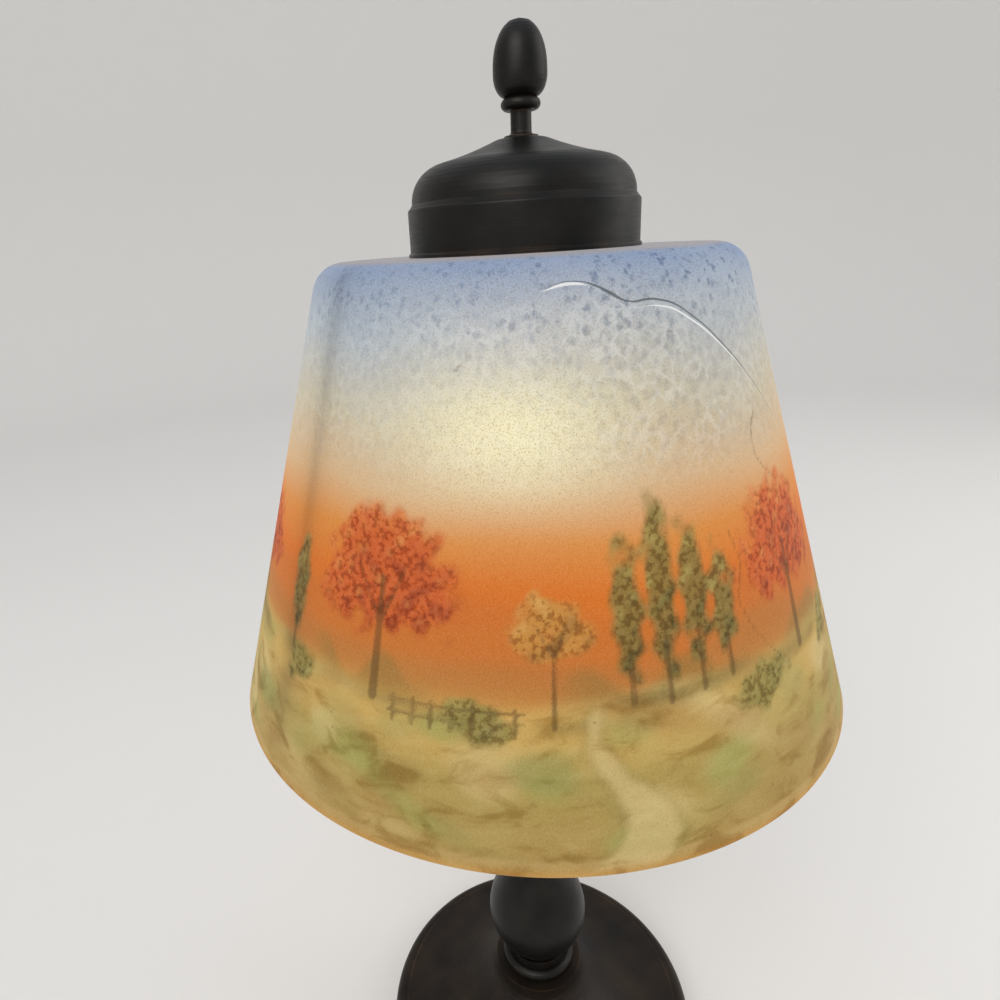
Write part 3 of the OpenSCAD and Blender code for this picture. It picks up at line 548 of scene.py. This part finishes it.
def ripples(count, turns, rises):
    """Sum of random waves cos(k b + m h + phase), scaled to about -1 to 1.

    A whole k makes a wave close up round the shade.
    """
    k = random.integers(turns[0], turns[1] + 1, count)
    m = random.uniform(rises[0], rises[1], count) * random.choice([-1, 1], count)
    phase = random.uniform(0, 2 * math.pi, count)
    angle = k[:, None, None] * np.radians(B) + m[:, None, None] * H + phase[:, None, None]
    return np.sum(np.cos(angle), axis=0) / math.sqrt(count)


def apart(bearing):
    """Distance in millimetres round the glass from a bearing, plus to the right."""
    return np.radians((B - bearing + 180) % 360 - 180) * R


def rgb(code):
    """Red, green and blue in linear light, as an array."""
    return np.array(linear(code)[:3])


def lay(colour, cover):
    """Lays a colour over the picture: each point moves towards it by the cover's share."""
    paint[:] += (rgb(colour) - paint) * cover[..., None]


def patch(bearing, height, wide, tall, level):
    """Soft round patch: exp(-(x / wide)^2 - (y / tall)^2), x round the glass and y up it."""
    return np.exp(-(apart(bearing) / wide) ** 2 - ((level - height) / tall) ** 2)


print("a degree at the rim is", round(math.radians(1) * RIM_R, 2), "mm")

# %% [markdown]
# ## Painting: sky and the bulb's light
# This picture is a plain autumn landscape that runs right round: blue sky above, a pale haze on the front,
# an orange horizon, and a meadow. Painted light lies on it too: a cream spot on the front, where the bulb's
# light comes through the glass, and a weaker one on the far side. The bands of the sky are a list of heights
# and tones, which also hold the bulb's light, and a few long waves keep them from being quite level.

# %% Sky and the bulb's light
# Sky paint with the bulb's light painted in: the tones are brightest about the bulb's height, dimmer towards
# the rim and the top
SKY_WITH_BULB_LIGHT = {
    0: "#ae8f50", 24: "#b09853", 37: "#d0a356", 48: "#cc7f35", 64: "#dc7524", 75: "#df9043", 86: "#dbb588",
    102: "#cfc4aa", 120: "#b7c0c7", 130: "#9fadc2", 136: "#8b9ebe",
}
drift = H + 1.8 * ripples(14, (2, 9), (0.02, 0.09))
tones = np.array([rgb(code) for code in SKY_WITH_BULB_LIGHT.values()])
paint = np.stack([np.interp(drift, list(SKY_WITH_BULB_LIGHT), tones[:, channel]) for channel in range(3)], axis=-1)

HAZE_H = 118
BULB_SPOT_H = 99
lay("#d8d3d0", 0.42 * patch(1, HAZE_H, 24, 12, drift))
# Painted light: a cream spot on the front, where the bulb shines through the glass, and a weaker one on the
# far side
front_bulb_spot = patch(-2, BULB_SPOT_H, 25, 13.5, H)
lay("#fff6cc", front_bulb_spot)
far_bulb_spot = patch(178, BULB_SPOT_H, 40, 14, H)
lay("#efdfb2", 0.6 * far_bulb_spot)
print("sky painted on", paint.shape[0], "x", paint.shape[1], "points")

# %% [markdown]
# ## Painting: hills and meadow
# Far things are paler and softer than near ones, so the hills are laid first, with wide soft edges. The
# meadow is washed on in broad patches: a sum of long waves has hills and hollows of its own, and each
# colour goes where its waves run high.

# %% Hills and meadow
hill_top = 61 + 4 * ripples(5, (2, 6), (0, 0))
lay("#cb6d2a", 0.5 * soft_step(hill_top - H, -2, 4) * soft_step(H, 38, 46))
near_top = 50 + 3.5 * ripples(6, (3, 9), (0, 0))
lay("#b0793c", 0.45 * soft_step(near_top - H, -1.5, 4) * soft_step(H, 36, 44))

far_trees = 45 + 2.6 * ripples(12, (8, 34), (0, 0))
clumps = soft_step(ripples(5, (3, 8), (0, 0)), -0.6, 0.5)
lay("#8b753a", 0.5 * clumps * soft_step(far_trees - H, -1.2, 2.5) * soft_step(H, 36, 41))

bank = 40 + 2.5 * ripples(6, (2, 7), (0, 0))
ground = soft_step(bank - H, -2.5, 3)
lay("#d3b266", 0.6 * ground * soft_step(H, 18, 38))
WASHES = {"#a3a158": 0.75, "#96793d": 0.6, "#d6bd7f": 0.7, "#8d9050": 0.6, "#a8834a": 0.55, "#c0a863": 0.6}
for tone, cover in WASHES.items():
    crests = soft_step(ripples(16, (4, 16), (0.08, 0.3)), 0.35, 1.5)
    lay(tone, cover * ground * crests * soft_step(H, 3, 9))
print("meadow washed with", len(WASHES), "tones")

# %% [markdown]
# ## Painting: brushes
# Two brushes paint everything else. A crown of leaves is an ellipse whose edge is broken up by fine
# waves, darker low on the right and lighter high on the left, where the evening light falls. Where there
# are leaves is noted too, for the dabs that the shader adds. Trunks and twigs are thin lines. Like the crack
# they are kept as a distance from the nearest line, so that they stay crisp.

# %% Brushes
INK_FAR = 9.0
INK_REACH = 4
FRAY = 0.18
ink = np.full(R.shape, INK_FAR)
foliage = np.zeros(R.shape)
ragged = ripples(40, (20, 80), (0.2, 0.9))
leafy = ripples(60, (40, 100), (0.3, 1.2))


def stroke(start, end, thick):
    """A tapering line between two points (bearing, height), kept where it is the nearest line.

    The distance is that to the nearest point of the line, less half the line's thickness there.
    """
    low = min(start[1], end[1]) - INK_REACH
    high = max(start[1], end[1]) + INK_REACH
    near = np.flatnonzero((profile[:, 1] > low) & (profile[:, 1] < high))
    gap = apart(start[0])[near]
    rise = H[near] - start[1]
    run = math.radians(end[0] - start[0]) * R[near]
    climb = end[1] - start[1]
    share = np.clip((gap * run + rise * climb) / (run ** 2 + climb ** 2), 0, 1)
    away = np.hypot(gap - share * run, rise - share * climb) - thick / 2 * (1.2 - 0.6 * share)
    ink[near] = np.minimum(ink[near], away)


def leaves(bearing, height, wide, tall, tones):
    """A ragged ellipse: leaves lie where hypot(x / wide, y / tall), plus some waves, is under 1.

    The middle tone goes all over it, the dark one low on the right and the light one high on the left.
    """
    side = apart(bearing) / wide
    rise = (H - height) / tall
    body = soft_step(1 - np.hypot(side, rise) + FRAY * ragged, -0.1, 0.4)
    np.maximum(foliage, body, out=foliage)
    lay(tones[1], 0.85 * body)
    lay(tones[0], 0.75 * body * soft_step(0.5 * side - rise + 0.8 * leafy, 0.2, 1.5))
    lay(tones[2], 0.75 * body * soft_step(rise - 0.5 * side + 0.8 * leafy, 0.3, 1.6))


most = FRAY * float(np.abs(ragged).max())
print("edges of leaves fray by up to", round(100 * most), "% of a crown's size")

# %% [markdown]
# ## Painting: trees
# Broad trees are five overlapping crowns on a trunk with two twigs, and poplars are single slim crowns.
# Each stands on a soft shadow, which ties it to the ground.

# %% Trees
MAPLE = ("#9a3b1a", "#cf5f2a", "#e8924c")
GOLD = ("#9c6a2e", "#c88a3d", "#dcab5e")
POPLAR = ("#504f27", "#7b7238", "#b09c55")
SHADOW_TONE = "#7d6b36"
LOBES = [(-0.5, -0.3, 0.6), (0.55, -0.25, 0.62), (0, 0, 0.9), (-0.22, 0.42, 0.55), (0.3, 0.36, 0.5)]
BROAD_TREES = [
    (-26, 67, 19, 16, MAPLE), (3, 57, 9, 8, GOLD), (51, 66, 18, 15, MAPLE), (88, 60, 13, 11, GOLD),
    (112, 68, 19, 16, MAPLE), (150, 62, 14, 12, MAPLE), (-168, 67, 17, 14, GOLD), (-132, 68, 19, 16, MAPLE),
    (-98, 60, 12, 11, GOLD), (-70, 63, 14, 12, MAPLE),
]
POPLARS = [
    (15, 60, 17), (21, 64, 22), (27, 61, 18), (32.5, 57, 13), (129, 63, 20), (135, 60, 16), (-151, 63, 20),
    (-115, 62, 18), (-109, 58, 13), (-47, 57, 14),
]
for bearing, height, wide, tall, tones in BROAD_TREES:
    foot = height - tall - 14
    lay(SHADOW_TONE, 0.5 * patch(bearing + 3, foot, 0.9 * wide, 2.2, H))
    for side, rise, size in LOBES:
        leaves(bearing + side * wide * 0.7, height + rise * tall, size * wide, size * tall, tones)
    stroke((bearing, foot), (bearing + 0.5, height - tall * 0.1), 0.1 * wide)
    for twig in (-0.55, 0.5):
        tip = (bearing + twig * wide * 0.5, height + 0.1 * tall)
        stroke((bearing + 0.3, height - tall * 0.8), tip, 0.6)
for bearing, height, tall in POPLARS:
    lay(SHADOW_TONE, 0.5 * patch(bearing + 1, height - tall - 3, 6, 1.8, H))
    stroke((bearing, height - tall - 4), (bearing, height - tall * 0.4), 1.1)
    leaves(bearing, height, 4.1, tall, POPLAR)
print(len(BROAD_TREES), "broad trees and", len(POPLARS), "poplars")

# %% [markdown]
# ## Painting: paths, bushes and fences
# Small things give the scale. A pale path winds up from the rim and narrows as it goes. Bushes are low
# crowns, and the fences are strokes.

# %% Paths, bushes and fences
for bearing in (10, 104, -160, -72):
    nearness = np.clip(1 - H / 42, 0, 1)
    off_line = apart(bearing + 9 * np.sin(H / 8.5) * nearness) + 0.4 * ragged
    inside = 1 + 9 * nearness ** 1.6 - np.abs(off_line)
    faded = soft_step(nearness, 0.02, 0.12)
    lay("#8d7c42", 0.35 * faded * soft_step(inside, -3, 0))
    lay("#d8c083", 0.6 * faded * soft_step(inside, -1.2, 1.8))

BUSH = ("#6d6831", "#8f8443", "#b09c55")
for bearing, height, size in [
    (-44, 36, 5), (-11, 37, 4), (-7, 35.5, 5), (37, 34, 5.5), (42, 35, 4), (64, 36, 6), (100, 35, 5),
    (126, 36, 6), (170, 35, 5), (-174, 34, 6), (-140, 35, 5), (-104, 36, 5), (-82, 34, 6),
]:
    leaves(bearing, height, size * 1.5, size, BUSH)

for start in (-22, 72, -128, 176):
    posts = start + 3.2 * np.arange(7)
    for post in posts:
        stroke((post, 33), (post + 0.2, 39), 0.8)
    for rail in (35, 37.6):
        stroke((posts[0] - 1, rail), (posts[-1] + 1.5, rail + 0.6), 0.55)

for bearing, height in zip(random.uniform(-180, 180, 70), random.uniform(5, 36, 70)):
    stroke((bearing, height), (bearing + 0.2, height + 0.3), 0.3)
print("ink covers", round(float((ink < 0).mean()) * 100, 1), "% of the points")

# %% [markdown]
# ## Shadows, bare glass and rim
# Each leg of the harp stands between bulb and glass and leaves a soft upright shadow. The paint thins out
# on the shoulder, where the warm bare glass shows, and the ground rim glows peach below a thin pale line.

# %% Shadows and bare glass
# Strength, and width in millimetres, of a shadow's core and of its soft border
CORE, BORDER = (0.16, 3.4), (0.1, 9)
for leg in (-90, 90):
    side = apart(leg - math.degrees(CAMERA_BEARING))
    shadow = sum(strength * np.exp(-(side / wide) ** 2) for strength, wide in (CORE, BORDER))
    paint *= (1 - shadow * soft_step(H, 4, 20) * soft_step(SHADE_H - H, -1, 4))[..., None]

bare = soft_step(shoulder[0] + 0.42 * SHOULDER_R - R, 0, 0.3 * SHOULDER_R) * (H > SHADE_H - SHOULDER_R)
lay("#aba199", 0.7 * bare)
lay("#d8b67c", 0.4 * np.exp(-((H - 3.6) / 0.7) ** 2))
lay("#c4954f", 0.8 * soft_step(3.2 - H, 0, 0.8))
print("bare glass on", int((bare > 0.5).any(axis=1).sum()), "rows")

# %% [markdown]
# ## Lines of the crack
# A dark rift follows the crack, with a pale gleam just below it where the edge catches the light. Each is
# given as a distance over half the line's width, so the line's edge is where the value is one. Hairlines
# elsewhere are drawn as strokes.

# %% Crack lines
FAR = 40
HAIRLINE_MM = 0.22
far_along = (B < CRACK[0, 0]) | (B > CRACK[-1, 0])
dark_half = along_crack({
    3: 0.02, 5: 0.06, 12: 0.12, 15: 0.26, 18: 0.4, 20.5: 0.14, 24: 0.28, 28: 0.24, 34: 0.18, 46: 0.15,
    60: 0.05,
})
pale_half = along_crack({
    3: 0.02, 5: 0.2, 8: 0.4, 11: 0.28, 13: 0.02, 24: 0.02, 28: 0.16, 32: 0.26, 40: 0.22, 45: 0.14, 49: 0.02,
})
pale_drop = along_crack({3: 0.35, 8: 0.55, 12: 0.4, 25: 1.5, 31: 1.15, 38: 0.75, 45: 0.45, 49: 0.3})
rift = np.where(far_along, FAR, above / dark_half)
gleam = np.where(far_along, FAR, (above + pale_drop) / pale_half)

HAIRLINES = [
    [(50.3, 96.5), (48.2, 93.8), (47.4, 90), (47.9, 86.2), (49.7, 83.2), (54.3, 78.3)],
    [(36.1, 72.2), (37.9, 64.5), (35.9, 55.8), (38.7, 47.2), (42.9, 40), (46.6, 35.1)],
    [(-13.9, 112.4), (-12.4, 113.8)],
    [(28.7, 118.5), (30.8, 117.4)],
]
for points in HAIRLINES:
    for start, end in zip(points, points[1:]):
        stroke(start, end, HAIRLINE_MM)
print("rift up to", round(2 * float(dark_half.max()), 2), "mm wide, with", len(HAIRLINES), "hairlines")

# %% [markdown]
# ## Fields for the shader
# The colours and the distances are stored in the mesh, point by point. The other fields say where there
# are leaves, where the meadow lies, where the glass is spotted, where mottles run over a dull wash, and how
# strongly the sanded grain shows.

# %% Fields
to_right = soft_step(B, -30, 45) * soft_step(-B, -150, -90)
spots = soft_step(H, 110, 131) * (0.5 + 0.5 * to_right) * (1 - bare)
mottle = soft_step(H, 82, 100) * soft_step(-H, -134, -118) * (0.4 + 0.6 * np.exp(-((B - 13) / 32) ** 2))
# Mottles thin out in the bulb's painted light spot on the front
mottle *= 1 - 0.7 * front_bulb_spot
lay("#b3ab9b", 0.3 * mottle * to_right)
# The grain shows most in the bulb's painted light spots and towards the top
grit = 0.4 + 0.6 * np.max([front_bulb_spot, far_bulb_spot, 0.5 * soft_step(H, 105, 128)], axis=0)

FIELDS = {
    "ink": ink, "foliage": foliage, "rift": rift, "gleam": gleam, "spots": spots, "mottle": mottle,
    "grit": grit, "meadow": ground,
}
for name, values in FIELDS.items():
    stored = glass.data.attributes.new(name, "FLOAT", "POINT")
    stored.data.foreach_set("value", values.ravel().astype(np.float32))
colours = np.concatenate([paint, np.ones((*R.shape, 1))], axis=-1)
stored = glass.data.attributes.new("paint", "FLOAT_COLOR", "POINT")
stored.data.foreach_set("color", colours.ravel().astype(np.float32))
print("fields stored:", ["paint", *FIELDS])

# %% [markdown]
# ## Grain of the shade
# Sand-blasting leaves pits about a tenth of a millimetre wide. They are drawn a few times coarser here, so
# that they show: as brown and pale dots in the paint, most of all before the bulb, and as a faint
# roughness.

# %% Shade grain
# Soda glass, blown, sand-blasted and painted: a dull satin face that glows in the paint's colours
lit_glass, tree, shader = new_material("frosted painted glass")
place = node(tree, "TexCoord", {}).outputs["Object"]
field = {name: node(tree, "Attribute", {}, attribute_name=name).outputs["Fac"] for name in FIELDS}
painted = node(tree, "Attribute", {}, attribute_name="paint").outputs["Color"]

GRIT_MM = 0.38
grain = node(
    tree, "TexNoise",
    {"Vector": place, "Scale": 1 / (GRIT_MM * MM), "Detail": 3.0, "Roughness": 0.65},
).outputs[0]
print("grain of", GRIT_MM, "mm")

# %% [markdown]
# ## Mottles
# Old paint gathers in small islands, and paler seams run through it. Voronoi cells give both: the distance
# from a cell's middle makes an island, and the distance from the border of a larger cell makes a seam. A
# little noise added to the place bends the cells, so that no two are alike, and a broader noise thins them
# out here and there.

# %% Mottles
SPOT_MM = 2.2
SEAM_MM = 3.6
WOBBLE_MM = 1.1
DRIFT_MM = 9
upright = node(tree, "Mapping", {"Vector": place, "Scale": (1, 1, 0.8)}).outputs[0]
wobble = node(
    tree, "TexNoise",
    {"Vector": place, "Scale": 1 / (WOBBLE_MM * MM), "Detail": 3.0},
).outputs["Color"]
bent = node(
    tree, "VectorMath",
    {0: wobble, 1: (2 * WOBBLE_MM * MM,) * 3, 2: upright},
    operation="MULTIPLY_ADD",
).outputs[0]
middle = node(tree, "TexVoronoi", {"Vector": bent, "Scale": 1 / (SPOT_MM * MM)}).outputs["Distance"]
border = node(
    tree, "TexVoronoi",
    {"Vector": bent, "Scale": 1 / (SEAM_MM * MM)},
    feature="DISTANCE_TO_EDGE",
).outputs["Distance"]
drifts = node(tree, "TexNoise", {"Vector": place, "Scale": 1 / (DRIFT_MM * MM), "Detail": 2.0}).outputs[0]
thick = {
    name: node(
        tree, "MapRange",
        {"Value": drifts, "From Min": 0.31, "From Max": 0.55, "To Max": field[name]},
    ).outputs[0]
    for name in ("spots", "mottle")
}
print("islands of", SPOT_MM, "mm in seams", SEAM_MM, "mm apart")

# %% [markdown]
# ## Strokes and dabs
# The brush leaves its marks in the paint: long soft strokes in the meadow and small dabs among the leaves.
# Both are noises, and that of the strokes is flattened, so that they run sideways.

# %% Strokes and dabs
BRUSH_MM = 13
DAB_MM = 1.5
flat = node(tree, "Mapping", {"Vector": place, "Scale": (1, 1, 2.4)}).outputs[0]
brushed = node(
    tree, "TexNoise",
    {"Vector": flat, "Scale": 1 / (BRUSH_MM * MM), "Detail": 5.0, "Distortion": 0.6},
).outputs[0]
dabs = node(tree, "TexNoise", {"Vector": place, "Scale": 1 / (DAB_MM * MM), "Detail": 2.0}).outputs[0]
print("strokes of", BRUSH_MM, "mm and dabs of", DAB_MM, "mm")

# %% [markdown]
# ## Finish of the shade
# The layers follow the real ones: paint with its grain, strokes, seams, islands, spots, dabs, line work,
# and the crack on top. The list says where each layer starts and what colour it lays on. Frosted glass
# scatters the bulb's light, so the paint seems to glow: most of the colour is emission, and a darker share
# of it is left to reflect the room.

# %% Shade layers
PEN_FRAY_MM = 0.35
PIT_MM = 0.05
SHADE_GLOW = 0.85
frayed = node(
    tree, "MapRange",
    {"Value": grain, "To Min": -PEN_FRAY_MM, "To Max": PEN_FRAY_MM},
).outputs[0]
pen = node(tree, "Math", {0: field["ink"], 1: frayed}, operation="ADD").outputs[0]
rift_gap = node(tree, "Math", {0: field["rift"]}, operation="ABSOLUTE").outputs[0]
gleam_gap = node(tree, "Math", {0: field["gleam"]}, operation="ABSOLUTE").outputs[0]

# Each layer: a value, where its cover starts, where it is full, the full cover, the colour and the blend
LAYERS = [
    (grain, 0.54, 0.28, field["grit"], "#d0bda3", "MULTIPLY"),
    (grain, 0.5, 0.72, field["grit"], "#5c5c5a", "SCREEN"),
    (brushed, 0.5, 0.3, field["meadow"], "#ddd3ba", "MULTIPLY"),
    (brushed, 0.5, 0.72, field["meadow"], "#4c442e", "SCREEN"),
    (border, 0.2, 0.0, thick["mottle"], "#858480", "SCREEN"),
    (middle, 0.7, 0.1, field["mottle"], "#e6e7ec", "MULTIPLY"),
    (middle, 0.46, 0.14, thick["spots"], "#b6c0d0", "MULTIPLY"),
    (dabs, 0.48, 0.62, field["foliage"], "#d2c4b2", "MULTIPLY"),
    (dabs, 0.5, 0.36, field["foliage"], "#332818", "SCREEN"),
    (pen, 0.6, -0.3, 0.6, "#5c4220", "MIX"),
    (rift_gap, 1.3, 0.6, 0.85, "#5b6064", "MIX"),
    (gleam_gap, 1.3, 0.4, 0.9, "#f2f2f0", "MIX"),
]
look = painted
for value, begin, full, cover, colour, blend in LAYERS:
    mask = node(
        tree, "MapRange",
        {"Value": value, "From Min": begin, "From Max": full, "To Max": cover},
        interpolation_type="SMOOTHSTEP",
    ).outputs[0]
    look = node(
        tree, "Mix",
        {FACTOR: mask, FIRST: look, SECOND: linear(colour)},
        data_type="RGBA", blend_type=blend,
    ).outputs[MIXED]

reflected = node(
    tree, "Mix",
    {FACTOR: 1.0, FIRST: look, SECOND: linear("#545454")},
    data_type="RGBA", blend_type="MULTIPLY",
).outputs[MIXED]
relief = node(tree, "Bump", {"Height": grain, "Distance": PIT_MM * MM, "Strength": 0.6}).outputs[0]
fill(shader, {
    "Base Color": reflected,
    "Roughness": 0.6,
    "IOR": 1.5,
    "Specular IOR Level": 0.2,
    "Emission Color": look,
    "Emission Strength": SHADE_GLOW,
    "Normal": relief,
})
glass.data.materials.append(lit_glass)
print("shade material has", len(tree.nodes), "nodes")

# %% [markdown]
# ## Felt
# A disc of green wool felt keeps the base from scratching the table. Felt has no weave: its fibres are
# matted, so its face is softly uneven and its cut edge is slightly furry. The underside is dented upwards
# only, so that it still rests on the table.

# %% Felt pad
FELT_STEPS = 240
FACE_ROWS = 60
EDGE_ROWS = 9
EDGE_IN = 1
EDGE_R = 0.8
DENT_MM = 0.22
FUR_MM = 0.25
felt_low, felt_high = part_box("felt_pad")
felt_r = (felt_high[0] - felt_low[0]) / 2 / MM
felt_t = (felt_high[2] - felt_low[2]) / MM
edge = felt_r - EDGE_IN
face = np.linspace(0.05, edge, FACE_ROWS)
edge_turn = np.linspace(-math.pi / 2, math.pi / 2, EDGE_ROWS)
felt_profile = np.concatenate([
    np.stack([face, np.zeros(face.size)], axis=-1),
    np.stack([edge + EDGE_R * np.cos(edge_turn), felt_t / 2 * (1 + np.sin(edge_turn))], axis=-1)[1:-1],
    np.stack([face[::-1], np.full(face.size, felt_t)], axis=-1),
])
felt_bearings = np.linspace(0, 2 * math.pi, FELT_STEPS, endpoint=False)
felt_radius = np.repeat(felt_profile[:, :1], FELT_STEPS, axis=1)
felt_height = np.repeat(felt_profile[:, 1:], FELT_STEPS, axis=1)
fuzz = random.uniform(0, 1, felt_radius.shape)
on_face = felt_height < 0.01
on_edge = (felt_height > 0.01) & (felt_height < felt_t - 0.01)
felt_height = felt_height + DENT_MM * fuzz * on_face * (felt_radius > 1)
felt_radius = felt_radius + FUR_MM * (fuzz - 0.5) * on_edge
felt = lathe("felt_disc", felt_radius, felt_height + felt_low[2] / MM, felt_bearings, caps=(True, True))
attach(felt, "stand")
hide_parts("felt_pad")
print("felt disc of", round(felt_r * 2), "mm, thickness", round(felt_t, 1), "mm")

# %% [markdown]
# ## Finish of the felt
# Matted wool has soft patches of tone, and its fibres scatter the light at the edges, which sheen gives. A
# fibre is about a thirtieth of a millimetre thick, so the fibres are drawn coarser.

# %% Felt finish
# Wool felt, matted and dyed green: soft patches of tone and no shine
MATTING_MM = 3
FIBRE_MM = 0.35
wool, tree, shader = new_material("green wool felt")
place = node(tree, "TexCoord", {}).outputs["Object"]
matting = node(
    tree, "TexNoise",
    {"Vector": place, "Scale": 1 / (MATTING_MM * MM), "Detail": 6.0, "Roughness": 0.7, "Distortion": 1.5},
)
fibres = node(
    tree, "TexNoise",
    {"Vector": place, "Scale": 1 / (FIBRE_MM * MM), "Detail": 4.0, "Distortion": 2.0},
)
tone = node(
    tree, "Mix",
    {FACTOR: matting.outputs[0], FIRST: linear("#26351f"), SECOND: linear("#4a5c3a")},
    data_type="RGBA",
)
nap = node(tree, "Bump", {"Height": fibres.outputs[0], "Distance": 0.2 * MM})
fill(shader, {
    "Base Color": tone.outputs[MIXED],
    "Roughness": 0.95,
    "Sheen Weight": 0.3,
    "Normal": nap.outputs[0],
})
felt.data.materials.append(wool)
print("patches of", MATTING_MM, "mm and fibres of", FIBRE_MM, "mm")

# %% [markdown]
# ## Dressing the frame
# Every CAD piece that still shows takes the finish that the record gives it.

# %% Assign finishes
for part in frame["record"]["subparts"]:
    if part["material_slot"] in FINISHES:
        for slot in frame["nodes"][part["node"]].material_slots:
            slot.material = FINISHES[part["material_slot"]]
print("dressed", len(frame["nodes"]), "nodes")
